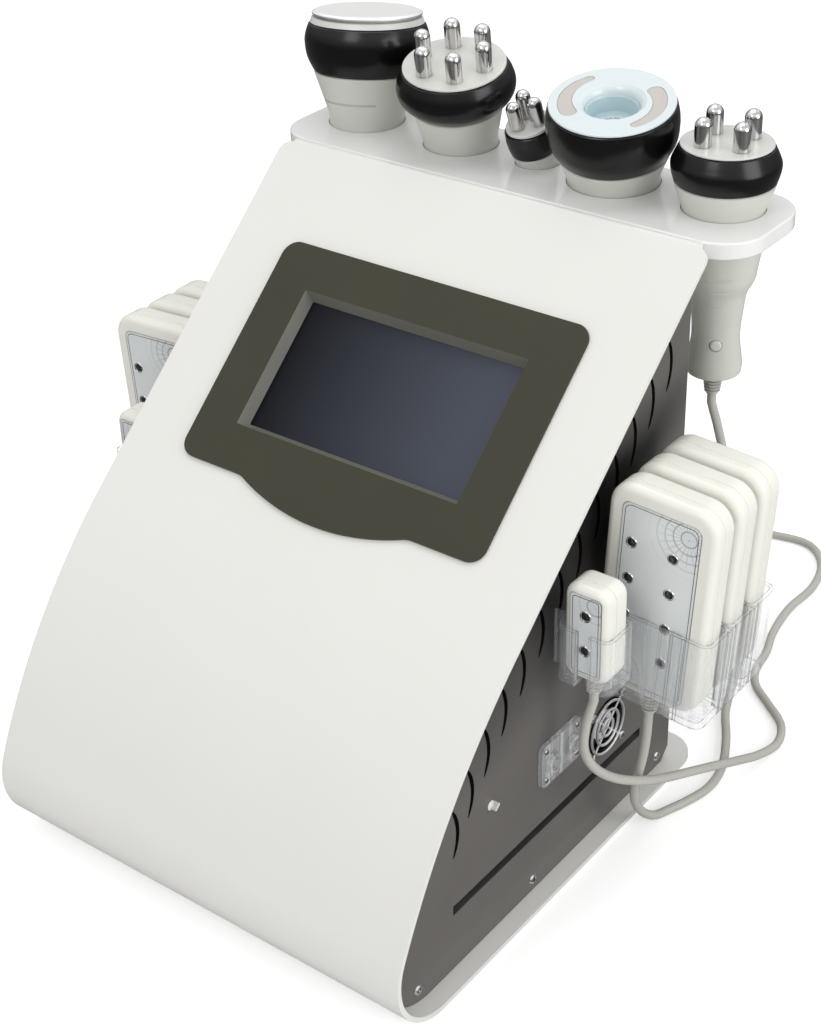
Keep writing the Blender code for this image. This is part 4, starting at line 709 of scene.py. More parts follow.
def plate(loops: list[Loop], low: float, high: float) -> bmesh.types.BMesh:
    """A flat plate in XY with holes.

    Args:
        loops: Its outline and then its holes.
        low: Height of its underside.
        high: Height of its top.

    Returns:
        The mesh, its faces outwards.
    """
    curve = bpy.data.curves.new("outline", "CURVE")
    curve.dimensions = "2D"
    curve.fill_mode = "BOTH"
    curve.extrude = (high - low) / 2
    for loop in loops:
        spline = curve.splines.new("POLY")
        spline.points.add(len(loop) - 1)
        for point, (x, y) in zip(spline.points, loop):
            point.co = (x, y, 0, 1)
        spline.use_cyclic_u = True
    drawn = bpy.data.objects.new("outline", curve)
    bpy.context.scene.collection.objects.link(drawn)
    graph = bpy.context.evaluated_depsgraph_get()
    mesh = bpy.data.meshes.new_from_object(drawn.evaluated_get(graph))
    bpy.data.objects.remove(drawn, do_unlink=True)
    cage = bmesh.new()
    cage.from_mesh(mesh)
    bpy.data.meshes.remove(mesh)
    bmesh.ops.remove_doubles(cage, verts=cage.verts, dist=1e-6)
    bmesh.ops.translate(cage, vec=(0, 0, (low + high) / 2), verts=cage.verts)
    bmesh.ops.recalc_face_normals(cage, faces=cage.faces)
    return cage


def tube(
    path: Path, radius: float, sides: int = 12, closed: bool = False
) -> bmesh.types.BMesh:
    """A round tube along a path.

    Args:
        path: The points of its middle line.
        radius: Its radius.
        sides: Faces round it.
        closed: Whether it is a ring.

    Returns:
        The mesh, its faces outwards.
    """
    count = len(path)
    ways = []
    for k in range(count):
        ahead = path[(k + 1) % count] if closed else path[min(k + 1, count - 1)]
        behind = path[k - 1] if closed or k else path[0]
        ways.append((ahead - behind).normalized())
    side = ways[0].orthogonal().normalized()
    loops = []
    for k, way in enumerate(ways):
        side = (side - way * side.dot(way)).normalized()
        up = way.cross(side)
        loops.append([
            path[k] + (side * math.cos(math.tau * s / sides) + up * math.sin(math.tau * s / sides))
            * radius
            for s in range(sides)
        ])
    return loft(loops, closed)


def cut(
    whole: bmesh.types.BMesh, others: list[bmesh.types.BMesh], operation: str = "DIFFERENCE"
) -> bmesh.types.BMesh:
    """Cut other solids from this one, or join them on.

    Args:
        whole: The solid that is changed; it is used up.
        others: The other solids; they are used up.
        operation: DIFFERENCE or UNION.

    Returns:
        The result.
    """
    thing = draft(whole)
    helpers = [draft(other) for other in others]
    for helper in helpers:
        change = thing.modifiers.new("cut", "BOOLEAN")
        change.operation = operation
        change.object = helper
        change.solver = "EXACT"
    made = settle(thing)
    for helper in helpers:
        bpy.data.objects.remove(helper, do_unlink=True)
    return made


def draft(cage: bmesh.types.BMesh) -> bpy.types.Object:
    """A scratch object.

    Args:
        cage: Its mesh, which is used up.

    Returns:
        The object.
    """
    mesh = bpy.data.meshes.new("draft")
    cage.to_mesh(mesh)
    cage.free()
    made = bpy.data.objects.new("draft", mesh)
    bpy.context.scene.collection.objects.link(made)
    return made


def settle(thing: bpy.types.Object) -> bmesh.types.BMesh:
    """Apply the modifiers of a scratch object, which is removed.

    Args:
        thing: The object.

    Returns:
        Its mesh.
    """
    graph = bpy.context.evaluated_depsgraph_get()
    mesh = bpy.data.meshes.new_from_object(thing.evaluated_get(graph))
    bpy.data.objects.remove(thing, do_unlink=True)
    cage = bmesh.new()
    cage.from_mesh(mesh)
    bpy.data.meshes.remove(mesh)
    return cage


def ease_edges(
    cage: bmesh.types.BMesh, width: float, segments: int = 2, limit: float = 50.0
) -> bmesh.types.BMesh:
    """Round the sharp edges.

    Args:
        cage: The solid; it is used up.
        width: Width of the rounding.
        segments: Faces across it.
        limit: Least angle, in degrees, of an edge that is rounded.

    Returns:
        The rounded solid.
    """
    thing = draft(cage)
    bevel = thing.modifiers.new("ease", "BEVEL")
    bevel.width = width
    bevel.segments = segments
    bevel.limit_method = "ANGLE"
    bevel.angle_limit = math.radians(limit)
    return settle(thing)


def rim_lines(cage: bmesh.types.BMesh, radius: float) -> bmesh.types.BMesh:
    """Thin bars along a solid's sharp edges, where cut acrylic shows its edge.

    Args:
        cage: The solid; it is kept.
        radius: Half the bars' thickness.

    Returns:
        The bars.
    """
    found = bmesh.new()
    for edge in cage.edges:
        if not edge.is_manifold or edge.calc_face_angle() < math.radians(50):
            continue
        ends = [vert.co for vert in edge.verts]
        way = (ends[1] - ends[0]).normalized()
        side = way.orthogonal().normalized() * radius
        up = way.cross(side)
        rings = [
            [found.verts.new(end + shift) for shift in (side, up, -side, -up)] for end in ends
        ]
        for k in range(4):
            found.faces.new((rings[0][k], rings[0][k - 1], rings[1][k - 1], rings[1][k]))
        found.faces.new(rings[0])
        found.faces.new(rings[1][::-1])
    bmesh.ops.recalc_face_normals(found, faces=found.faces)
    return found


def moved(cage: bmesh.types.BMesh, matrix: Matrix) -> bmesh.types.BMesh:
    """Move a mesh.

    Args:
        cage: The mesh; it is changed.
        matrix: Where it goes; a mirror keeps its faces outwards.

    Returns:
        The same mesh.
    """
    bmesh.ops.transform(cage, matrix=matrix, verts=cage.verts)
    if matrix.determinant() < 0:
        bmesh.ops.reverse_faces(cage, faces=cage.faces)
    return cage


def box(size: tuple[float, float, float], middle: tuple[float, float, float]) -> bmesh.types.BMesh:
    """A block, for cutting.

    Args:
        size: Its size along X, Y and Z.
        middle: Its centre.

    Returns:
        Its mesh.
    """
    cage = bmesh.new()
    bmesh.ops.create_cube(cage, size=1)
    bmesh.ops.scale(cage, vec=Vector(size), verts=cage.verts)
    bmesh.ops.translate(cage, vec=middle, verts=cage.verts)
    return cage


def shaded(cage: bmesh.types.BMesh, name: str, look: str, crease: float) -> bpy.types.Mesh:
    """Mesh data with smooth faces and sharp creases.

    Args:
        cage: The mesh; it is used up.
        name: Its name.
        look: Its finish.
        crease: Least angle, in degrees, of a sharp edge.

    Returns:
        The mesh data.
    """
    for face in cage.faces:
        face.smooth = True
    for edge in cage.edges:
        if edge.is_manifold:
            edge.smooth = edge.calc_face_angle(0) < math.radians(crease)
    mesh = bpy.data.meshes.new(name)
    cage.to_mesh(mesh)
    cage.free()
    mesh.materials.append(palette[look])
    return mesh


def mount(
    name: str, shape: bmesh.types.BMesh | bpy.types.Mesh, look: str, body: str,
    replaced: tuple[str, ...] = (), place: Matrix | None = None, crease: float = 38.0,
) -> bpy.types.Object:
    """Put a piece on the machine.

    Args:
        name: Its name.
        shape: Its mesh, or mesh data that it shares.
        look: Its finish.
        body: The body it rides on; empty where it spans more than one body and rides on none.
        replaced: The nodes it stands for.
        place: Where it goes.
        crease: Least angle, in degrees, of a sharp edge.

    Returns:
        The piece.
    """
    mesh = shape if isinstance(shape, bpy.types.Mesh) else shaded(shape, name, look, crease)
    piece = bpy.data.objects.new(name, mesh)
    bpy.context.scene.collection.objects.link(piece)
    piece.matrix_world = place or Matrix.Identity(4)
    even = piece.modifiers.new("even_shading", "WEIGHTED_NORMAL")
    even.keep_sharp = True
    bpy.context.view_layer.update()
    if body:
        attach(piece, body)
    if replaced:
        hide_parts(*replaced)
    log.info("%s rides on %s", name, body or "more than one body")
    return piece


def repaint(look: str, *nodes: str) -> None:
    """Give carried-over nodes a finish.

    Args:
        look: The finish.
        nodes: The nodes' names.
    """
    for name in nodes:
        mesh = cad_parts[name].data
        mesh.materials.clear()
        mesh.materials.append(palette[look])


# Machine sizes


@dataclass(frozen=True)
class Frame:
    """The sizes that several sub-assemblies share."""

    width: float = 300 * MM
    depth: float = 296.6 * MM
    height: float = 360.5 * MM
    foot: float = 315 * MM
    sheet: float = 3 * MM
    panel: float = 2 * MM
    gap: float = 0.3 * MM
    slope: float = math.atan2(256.29, 296.6)
    belly_radius: float = 400 * MM
    nose_radius: float = 42 * MM
    bend: float = 3.6 * MM
    side_x: float = 138.6 * MM
    shelf_top: float = 355.4 * MM
    row_y: float = 187.8 * MM
    screen_drop: float = 142 * MM

    @property
    def nose_y(self) -> float:
        """Front of the foot."""
        return -self.foot / 2

    @property
    def flange_y(self) -> float:
        """Outer face of the rear flange."""
        return self.nose_y + self.depth

    @property
    def rear_y(self) -> float:
        """Outer face of the rear panel."""
        return self.flange_y - self.sheet - self.gap

    @property
    def on_slope(self) -> Matrix:
        """Where the screen is.

        Returns:
            Its frame: X right, Y up the slope, Z out of it.
        """
        along = self.screen_drop
        middle = (
            0, self.flange_y - along * math.cos(self.slope),
            self.height - along * math.sin(self.slope),
        )
        return Matrix.Translation(middle) @ Matrix.Rotation(self.slope, 4, "X")

    def belly(self) -> tuple[float, Vector, Vector, float]:
        """The arcs of the front.

        Returns:
            Length of the straight slope, centres of the belly and of the nose, and the belly's
            sweep.
        """
        down = Vector((-math.cos(self.slope), -math.sin(self.slope)))
        inward = Vector((math.sin(self.slope), -math.cos(self.slope)))
        corner = Vector((self.flange_y, self.height))
        nose = Vector((self.nose_y + self.nose_radius, self.nose_radius))
        offset = corner + inward * self.belly_radius - nose
        along = offset.dot(down)
        rest = self.belly_radius - self.nose_radius
        straight = -along - math.sqrt(along**2 - offset.length_squared + rest**2)
        belly = corner + down * straight + inward * self.belly_radius
        towards = nose - belly
        sweep = math.atan2(towards.y, towards.x) - (math.pi / 2 + self.slope)
        return straight, belly, nose, sweep

    def front(self, inset: float, fine: int = 40) -> Loop:
        """Side view of the front, from the end of the slope round the nose to the foot.

        Args:
            inset: Distance inside the outer face.
            fine: Edges along the belly.

        Returns:
            Its y and z points.
        """
        _, belly, nose, sweep = self.belly()
        first = math.pi / 2 + self.slope
        found = []
        for k in range(fine + 1):
            angle, reach = first + sweep * k / fine, self.belly_radius - inset
            found.append((belly.x + reach * math.cos(angle), belly.y + reach * math.sin(angle)))
        rest = 3 * math.pi / 2 - first - sweep
        for k in range(1, fine + 1):
            angle, reach = first + sweep + rest * k / fine, self.nose_radius - inset
            found.append((nose.x + reach * math.cos(angle), nose.y + reach * math.sin(angle)))
        return found

    def top_bend(self, radius: float, steps: int = 8) -> Loop:
        """Side view of the bend at the top.

        Args:
            radius: Its radius.
            steps: Edges round it.

        Returns:
            Its y and z points.
        """
        y = self.flange_y - self.bend
        z = self.height - self.bend * (1 + math.sin(self.slope)) / math.cos(self.slope)
        turn = (math.pi / 2 + self.slope) / steps
        return [
            (y + radius * math.cos(k * turn), z + radius * math.sin(k * turn))
            for k in range(steps + 1)
        ]


SIZES = Frame()
palette = Palette()
SIDEWAYS = Matrix(((0, 0, 1, 0), (1, 0, 0, 0), (0, 1, 0, 0), (0, 0, 0, 1)))
BACKWARDS = Matrix(((1, 0, 0, 0), (0, 0, -1, 0), (0, 1, 0, 0), (0, 0, 0, 1)))
OUTWARD = Matrix.Rotation(math.pi / 2, 4, "Y")
REARWARD = Matrix.Rotation(-math.pi / 2, 4, "X")
UPRIGHT = Matrix.Rotation(math.pi / 2, 4, "X")


def screws(stem: str, radius: float, places: list[Matrix]) -> None:
    """Put in pan-head screws.

    Args:
        stem: What their names start with.
        radius: Radius of their heads.
        places: Where each head is seated.
    """
    head = screw_head(radius)
    for k, place in enumerate(places):
        mount(f"{stem}_{k + 1}", head, "", "console", place=place)


def screw_head(radius: float) -> bpy.types.Mesh:
    """A pan head with a cross recess.

    Args:
        radius: Its radius.

    Returns:
        Mesh data that several screws share, the seat at z = 0.
    """
    profile = [(0, radius * 0.62), (radius * 0.45, radius * 0.58), (radius * 0.8, radius * 0.42),
               (radius, radius * 0.12), (radius, -radius * 0.1), (0, -radius * 0.1)]
    arms = [
        box((radius * 1.15, radius * 0.22, radius * 0.8), (0, 0, radius * 0.62)),
        box((radius * 0.22, radius * 1.15, radius * 0.8), (0, 0, radius * 0.62)),
    ]
    return shaded(cut(lathe(profile, 32), arms), "screw", "chrome_plate", 30)


# Cords


@dataclass
class Cord:
    """One free cord: its route by given points in millimetres, and a coil."""

    word: str
    route: list[tuple[float, float, float]]
    socket: tuple[float, float]
    body: str
    length: float
    bend_from: tuple[float, float, float]
    bend_to: tuple[float, float, float]
    coil: tuple[float, float, float, int, float] | None = None
    radius: float = 2.75 * MM
    rest: float = 2.9 * MM
    pitch: float = 6 * MM
    spacing: float = 5 * MM
    plug_length: float = 30 * MM
    tail_shares: tuple[tuple[float, float], ...] = (
        (0.3, 0.07), (0.43, 0.25), (0.55, 0.53), (0.68, 0.82), (0.8, 0.95),
    )

    def smooth(self, points: Path) -> Path:
        """A smooth curve, its first and last legs kept straight.

        Args:
            points: The points that it runs through.

        Returns:
            Evenly spaced points on it, none lower than a cord at rest.
        """
        fine = []
        for before, start, end, after in zip(points, points[1:], points[2:], points[3:]):
            for k in range(16):
                t = k / 16
                fine.append(
                    start + (end - before) * t / 2
                    + (before - start * 2.5 + end * 2 - after / 2) * t**2
                    + (start * 1.5 - before / 2 - end * 1.5 + after / 2) * t**3
                )
        fine.append(points[-2])
        found = [points[0].copy(), fine[0].copy()]
        for spot in fine[1:]:
            if (spot - found[-1]).length >= self.spacing:
                found.append(spot.copy())
        if (points[-2] - found[-1]).length < self.spacing / 2:
            found.pop()
        found += [points[-2].copy(), points[-1].copy()]
        for spot in found:
            spot.z = max(spot.z, self.rest)
        return found

    def winding(self) -> Path:
        """The coil: it winds in, climbs where it turns back, and winds out again.

        Returns:
            Its middle line.
        """
        x, y, radius, turns, start = self.coil
        climb, inward = math.pi, math.tau * turns
        outward = inward + (math.pi - start - climb) % math.tau - math.tau
        total = inward + climb + outward
        count = round(total / math.tau * 24)
        found = []
        for k in range(count + 1):
            turn = total * k / count
            past = turn - inward
            drawn = min(turn, inward + climb / 2) - max(0, past - climb / 2)
            far = radius - self.pitch * drawn / math.tau
            lift = min(1, max(0, past / climb))
            found.append(Vector((
                x + far * math.cos(start + turn), y + far * math.sin(start + turn),
                self.rest + self.pitch * lift,
            )))
        first = (found[0] - found[1]).normalized() * 2 * self.radius
        last = (found[-1] - found[-2]).normalized() * 2 * self.radius
        first.z = last.z = 0
        return [found[0] + first, *found, found[-1] + last]

    def path(self) -> Path:
        """The cord's whole route, from the relief to the connector.

        Returns:
            Its middle line.
        """
        points = [Vector(point) * MM for point in self.route]
        if not self.coil:
            return self.smooth(points)
        coil = self.winding()
        way = (coil[0] - coil[1]).normalized()
        meeting = coil[0] + way * SIZES.gap
        free = self.smooth(points + [meeting + way * 2 * self.radius, meeting])
        leaving = (coil[-1] - coil[-2]).normalized()
        begin = coil[-1] + leaving * SIZES.gap
        end = Vector((
            self.socket[0], SIZES.rear_y + 2 * SIZES.gap + self.plug_length, self.socket[1],
        ))
        tail = [begin, begin + leaving * 2 * self.radius]
        for run, rise in self.tail_shares:
            tail.append(Vector((
                begin.x + (end.x - begin.x) * run, begin.y - (begin.y - end.y) * run,
                begin.z + (end.z - begin.z) * rise,
            )))
        tail += [end + Vector((0, 2 * self.radius, 0)), end]
        return free[:-1] + coil + self.smooth(tail)[1:]

    def build(self) -> None:
        """Lay the cord, its connector and the tie of its coil."""
        path = self.path()
        replaced = [f"cord_{self.word}"]
        if self.coil:
            replaced += [f"coil_{self.word}", f"tail_{self.word}"]
        piece = mount(
            f"{self.word}_cord", tube(path, self.radius, 16), "cord_warm_grey", "",
            tuple(replaced), crease=60,
        )
        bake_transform(piece)
        plug = self.connector()
        if self.coil:
            self.tie()

    def connector(self) -> bpy.types.Object:
        """Plug the round connector with its knurled nut into the rear panel.

        Returns:
            The connector.
        """
        length = self.plug_length
        profile = eased([
            (0, length), (2 * self.radius, length), (2 * self.radius, length * 0.86),
            (1.75 * self.radius, length * 0.84), (1.75 * self.radius, length * 0.8),
            (2 * self.radius, length * 0.78), (5.6 * MM, length * 0.62), (6.4 * MM, length * 0.53),
        ], 0.5 * MM, 3)
        zone = (0.9 * MM, length * 0.46)
        profile += [(7 * MM, length * 0.5), (7 * MM, zone[1] + 1e-5)]
        profile += [(7 * MM, zone[1] - k * (zone[1] - zone[0]) / 6) for k in range(7)]
        profile += [mm(7, 0.4), mm(6.6, 0), mm(4.6, 0), mm(4.6, -4),
                    mm(0, -4)]
        cage = lathe(profile, 96, flutes=(zone[0], zone[1], 24, 0.35 * MM))
        place = at(self.socket[0], SIZES.rear_y + SIZES.gap, self.socket[1])
        return mount(
            f"{self.word}_connector", cage, "black_plastic", "console",
            (f"connector_{self.word}",), place @ REARWARD,
        )

    def tie(self) -> bpy.types.Object:
        """Put the strap round the coil's turns, on the side away from the machine.

        Returns:
            The strap.
        """
        x, y, radius, turns, _ = self.coil
        inner = radius - self.pitch * (turns + 0.5) - self.radius - 0.3 * MM
        outer = radius + self.radius + 0.3 * MM
        top = self.rest + self.pitch + self.radius + 0.3 * MM
        middle = ((inner + outer) / 2, top / 2 + 0.05 * MM)
        ring = box_loop(outer - inner, top - 0.1 * MM, 3 * MM, 6, middle)
        strap = box_loop(outer - inner + 1.6 * MM, top + 0.7 * MM, 3.6 * MM, 6,
                         (middle[0], (top + 0.8 * MM) / 2))
        cage = plate([strap, ring], -3.5 * MM, 3.5 * MM)
        place = at(x, y, 0) @ Matrix.Rotation(math.radians(62), 4, "Z")
        return mount(
            f"{self.word}_tie", ease_edges(cage, 0.2 * MM), "black_plastic", "console",
            place=place @ UPRIGHT,
        )


def strain_relief(name: str, place: Matrix, length: float, body: str, top: float) -> None:
    """A tapered, ribbed strain relief.

    Args:
        name: Its name.
        place: Its upper end, its length running down -Z.
        length: How long it is.
        body: The body it rides on.
        top: Radius at its upper end.
    """
    ribs = 5
    profile = [(0, 0), (top, 0), (top, -length * 0.14)]
    for k in range(ribs):
        high = length * (0.18 + 0.75 * k / ribs)
        low = length * (0.18 + 0.75 * (k + 0.62) / ribs)
        wide = top - (top - 4.6 * MM) * (k + 0.5) / ribs
        profile += [(wide - 1.5 * MM, -high), (wide, -high - 0.2 * MM), (wide, -low + 0.2 * MM),
                    (wide - 1.5 * MM, -low)]
    profile += [(3.4 * MM, -length * 0.94), (3.4 * MM, -length), (0, -length)]
    cage = lathe(eased(profile, 0.3 * MM, 2), 40)
    mount(name, cage, "cord_warm_grey", body, place=place)


CORDS = (
    Cord(
        "small_pad",
        [
            (164.4, 3.9, 146.1), (164.4, 3.9, 140.6), (161.8, 1.2, 126), (161, 0.2, 109),
            (164, 3.1, 96.6), (168.4, 13.2, 83.7), (171.9, 31.7, 69.2), (175.9, 57.7, 54.2),
            (179.7, 92, 38.9), (181.8, 117, 27.5), (185, 146, 14.5), (188, 167, 6.5),
            (189.5, 188, 2.9), (182, 206, 2.9), (165, 220.5, 2.9), (148.5, 234, 2.9),
            (140, 250, 2.9), (136.5, 271, 2.9), (129, 295, 2.9), (124.5, 327, 2.9),
            (125.5, 360, 2.9), (117, 390, 2.9), (98, 409, 2.9), (72, 407, 2.9),
            (42, 396, 2.9), (2, 378, 2.9), (-42, 360, 2.9), (-86, 338, 2.9),
            (-118, 308, 2.9), (-131, 276, 2.9), (-132, 246, 2.9), (-127.5, 225, 8),
            (-124.8, 210, 22), (-124, 196.5, 42), (-124, 184.5, 54.5), (-124, 171.9, 58),
            (-124, 166.4, 58),
        ],
        mm(-124, 58), "small_pad_right_body", 0.925,
        (0.1644, 0.0039, 0.07), (0.1644, 0.0039, 0.141),
    ),
    Cord(
        "large_pad",
        [
            (174.97, 46.2, 110.83), (174.63, 46.2, 105.34), (173.8, 46.6, 92),
            (172, 47.2, 77.7),
            (169.1, 47.3, 61.8), (165.3, 50.3, 45.8), (162.4, 59, 27.1), (162.4, 71, 12),
            (164, 85, 2.9), (171, 104, 2.9), (175.6, 124, 2.9), (172.5, 146, 2.9),
            (161, 172, 2.9), (147, 196, 2.9), (137.5, 220, 2.9), (124, 255, 2.9),
            (106, 282, 2.9), (82, 300, 2.9), (54, 309, 2.9), (18, 307, 2.9),
            (-16, 298, 2.9), (-38, 292, 2.9),
        ],
        mm(-93, 58), "large_pad_right_1_body", 1.39,
        (0.1624, 0.059, 0.027), (0.1749, 0.0462, 0.1095),
        (-58.5 * MM, 254 * MM, 36 * MM, 2, math.radians(90)),
    ),
    Cord(
        "handpiece",
        [
            (126.8, 187.8, 237.1), (126.8, 187.8, 231.6), (130.5, 191, 214), (134.5, 196, 186),
            (133.5, 205, 144), (127.6, 213, 104), (122.6, 222, 64), (115.5, 231.5, 31),
            (105, 242.5, 9), (91, 254, 2.9),
        ],
        mm(-10.5, 100), "body_rf_handpiece", 1.715,
        (0.1268, 0.1878, 0.102), (0.1268, 0.1878, 0.234),
        (30 * MM, 248 * MM, 42 * MM, 3, math.radians(53)),
    ),
)


# Console


@dataclass
class Shell:
    """The white sheet bent from the rear flange down the front and back under the machine."""

    flange_drop: float = 29 * MM
    flange_inset: float = 8 * MM
    flange_corner: float = 8 * MM
    tail_corner: float = 20 * MM
    opening: tuple[float, float] = mm(176.6, 108.6)
    steps: int = 10

    def rows(self) -> list[tuple[float, float, float]]:
        """The sheet from the rear flange to the tail.

        Returns:
            Rows across it, as y, z and half width.
        """
        half = SIZES.width / 2
        narrow = half - self.flange_inset
        low = SIZES.height - self.flange_drop
        corner = self.flange_corner
        arc = quarter(self.steps)
        found = [
            (SIZES.flange_y, low + corner * (1 - cos), narrow - corner * (1 - sin))
            for sin, cos in arc
        ]
        found += [(y, z, narrow) for y, z in SIZES.top_bend(SIZES.bend, 12)]
        last_y, last_z, _ = found[-1]
        slope = (math.cos(SIZES.slope), math.sin(SIZES.slope))
        for sin, cos in arc[1:]:
            run = self.flange_inset * (1 - cos)
            found.append((last_y - run * slope[0], last_z - run * slope[1],
                          narrow + self.flange_inset * sin))
        for side in (-1, 1):
            along = SIZES.screen_drop + side * self.opening[1] / 2
            found.append((SIZES.flange_y - along * slope[0], SIZES.height - along * slope[1], half))
        found += [(y, z, half) for y, z in SIZES.front(0)]
        found += [
            (SIZES.foot / 2 - self.tail_corner * (1 - sin), 0, half - self.tail_corner * (1 - cos))
            for sin, cos in arc
        ]
        return found

    def build(self) -> None:
        """Bend the sheet and leave the screen's opening."""
        rows = self.rows()
        inner = self.opening[0] / 2
        ends = [
            SIZES.height - (SIZES.screen_drop + side * self.opening[1] / 2) * math.sin(SIZES.slope)
            for side in (-1, 1)
        ]
        cage = bmesh.new()
        grid = [
            [cage.verts.new((x, y, z)) for x in (-half, -inner, inner, half)]
            for y, z, half in rows
        ]
        for k, (one, two) in enumerate(zip(grid, grid[1:])):
            open_row = abs(rows[k][1] - ends[0]) < 1e-6 and abs(rows[k + 1][1] - ends[1]) < 1e-6
            for column in range(3):
                if not (open_row and column == 1):
                    cage.faces.new((one[column], two[column], two[column + 1], one[column + 1]))
        bmesh.ops.recalc_face_normals(cage, faces=cage.faces)
        cage.normal_update()
        if sum(f.normal.z * f.calc_area() for f in cage.faces if f.normal.y < -0.3) < 0:
            bmesh.ops.reverse_faces(cage, faces=cage.faces)
        thing = draft(cage)
        skin = thing.modifiers.new("sheet", "SOLIDIFY")
        skin.thickness, skin.offset, skin.use_even_offset = SIZES.sheet, -1, True
        cage = ease_edges(settle(thing), 0.45 * MM, 2, 60)
        mount("bent_shell", cage, "white_powder_coat", "console", ("front_shell",),
              crease=45)


@dataclass
class SidePanels:
    """The two dark side panels with crescent vents, a formed channel and their screws."""

    slot_count: int = 13
    slot_length: float = 33 * MM
    slot_width: float = 3.2 * MM
    slot_bulge: float = 4.4 * MM
    slot_pitch: float = 23.45 * MM
    slot_start: float = 64 * MM
    slot_margin: float = 36.5 * MM
    channel_half: float = 3.6 * MM
    channel_depth: float = 4 * MM
    channel_wall: float = 1.2 * MM
    proud: float = 0.02 * MM
    shade_share: float = 0.8
    channel: tuple[float, float, float] = mm(-93, 100, 45.4)
    screws: tuple[tuple[float, float], ...] = (
        mm(-126.6, 14.1), mm(-16.5, 12), mm(121.3, 12.1),
    )
    fan: tuple[float, float, float] = mm(60.5, 74.6, 18.8)
    heel: float = 8 * MM

    def slot(self, index: int) -> Loop:
        """One crescent vent.

        Args:
            index: Its place along the front edge, from the top.

        Returns:
            Its outline.
        """
        straight, belly, _, _ = SIZES.belly()
        along = self.slot_start + index * self.slot_pitch
        if along <= straight:
            turn = (math.cos(SIZES.slope), math.sin(SIZES.slope))
            y = SIZES.flange_y - along * turn[0] + self.slot_margin * turn[1]
            z = SIZES.height - along * turn[1] - self.slot_margin * turn[0]
        else:
            reach = SIZES.belly_radius - self.slot_margin
            angle = math.pi / 2 + SIZES.slope + (along - straight) / reach
            y, z = belly.x + reach * math.cos(angle), belly.y + reach * math.sin(angle)
        right, left = [], []
        for k in range(17):
            share = math.sin(math.pi / 2 * (k / 8 - 1))
            middle = y + self.slot_bulge * (1 - share**2) - self.slot_bulge / 2
            half = self.slot_width / 2 * math.sqrt(max(0, 1 - share**4))
            right.append((middle + half, z + share * self.slot_length / 2))
            if 0 < k < 16:
                left.append((middle - half, z + share * self.slot_length / 2))
        return right + left[::-1]

    def build_channel(self, side: Side) -> None:
        """The pressed channel, a bell-shaped valley with painted shade on it up to its lower lip.

        Args:
            side: The panel it is in.
        """
        front, back, height = self.channel
        count, stations = 14, 40
        outer, inner = [], []
        for k in range(count + 1):
            share = 2 * k / count - 1
            deep = self.channel_depth * (math.cos(math.pi * share) + 1) / 2
            outer.append((share * self.channel_half, self.proud - deep))
            inner.append((share * self.channel_half, -deep - self.channel_wall))
        loops = []
        for k in range(stations + 1):
            y = front + (back - front) * k / stations
            ease = math.sin(math.pi / 2 * min(k, stations - k, 3) / 3)
            rim = [(up, depth * ease) for up, depth in outer]
            rim += [(up, (depth + self.channel_wall) * ease - self.channel_wall)
                    for up, depth in inner[::-1]]
            loops.append([
                Vector((side.value * (SIZES.side_x + depth), y, height + up)) for up, depth in rim
            ])
        piece = mount(f"channel_{side.name.lower()}", loft(loops), "grey_powder_coat", "console",
                      crease=70)
        # Faces above the lower lip take the dark channel_shade finish: painted shade.
        piece.data.materials.append(palette["channel_shade"])
        for face in piece.data.polygons:
            if face.center.z > height - self.channel_half * self.shade_share:
                face.material_index = 1

    def build_side(self, side: Side) -> None:
        """One panel with its screws.

        Args:
            side: Where it goes.
        """
        inset = SIZES.sheet + SIZES.gap
        outline = [
            *SIZES.top_bend(SIZES.bend - inset, 6), *SIZES.front(inset, 30),
            (SIZES.rear_y - self.heel, inset), (SIZES.rear_y, inset + self.heel),
        ]
        front, back, height = self.channel
        trim = self.channel_half - 0.25 * MM
        channel = [(front, height - trim), (back, height - trim), (back, height + trim),
                   (front, height + trim)]
        loops = [outline, channel, *(self.slot(k) for k in range(self.slot_count))]
        word = side.name.lower()
        if side is Side.RIGHT:
            loops.append(round_loop(self.fan[2], 64, self.fan[:2]))
        turn = SIDEWAYS if side is Side.RIGHT else Matrix.Diagonal((-1, 1, 1, 1)) @ SIDEWAYS
        cage = moved(plate(loops, SIZES.side_x - SIZES.panel, SIZES.side_x), turn)
        mount(f"vent_panel_{word}", cage, "grey_powder_coat", "console",
              (f"side_panel_{word}",))
        # Black plates just inside the vents: painted shade for the dark inside of the machine.
        shades = [self.slot(k) for k in range(self.slot_count)]
        cage = moved(plate(shades, SIZES.side_x - SIZES.panel, SIZES.side_x - 0.25 * MM), turn)
        mount(f"vent_shades_{word}", cage, "vent_black", "console")
        self.build_channel(side)
        outward = Matrix.Rotation(side.value * math.pi / 2, 4, "Y")
        screws(f"panel_screw_{word}", 3.1 * MM, [
            at(side.value * SIZES.side_x, y, z) @ outward
            @ Matrix.Rotation(0.5 + k, 4, "Z")
            for k, (y, z) in enumerate(self.screws)
        ])

    def build_clip(self) -> None:
        """The small white push-in clip on the right panel."""
        foot = lathe(eased([mm(0, 1.6), mm(1.6, 1.4), mm(3, 0.5), mm(3, 0),
                            (0, 0)], 0.3 * MM), 32)
        tab = ease_edges(box(mm(1.4, 5, 4.2), mm(0, 0.6, 2.6)), 0.4 * MM)
        cage = cut(foot, [tab], "UNION")
        place = at(SIZES.side_x, -57.4 * MM, 96.1 * MM)
        mount("panel_clip", cage, "clip_white", "console",
              place=place @ Matrix.Rotation(math.pi / 2, 4, "Y") @ Matrix.Rotation(0.7, 4, "Z"))

    def build(self) -> None:
        """Both panels."""
        for side in Side:
            self.build_side(side)
        self.build_clip()


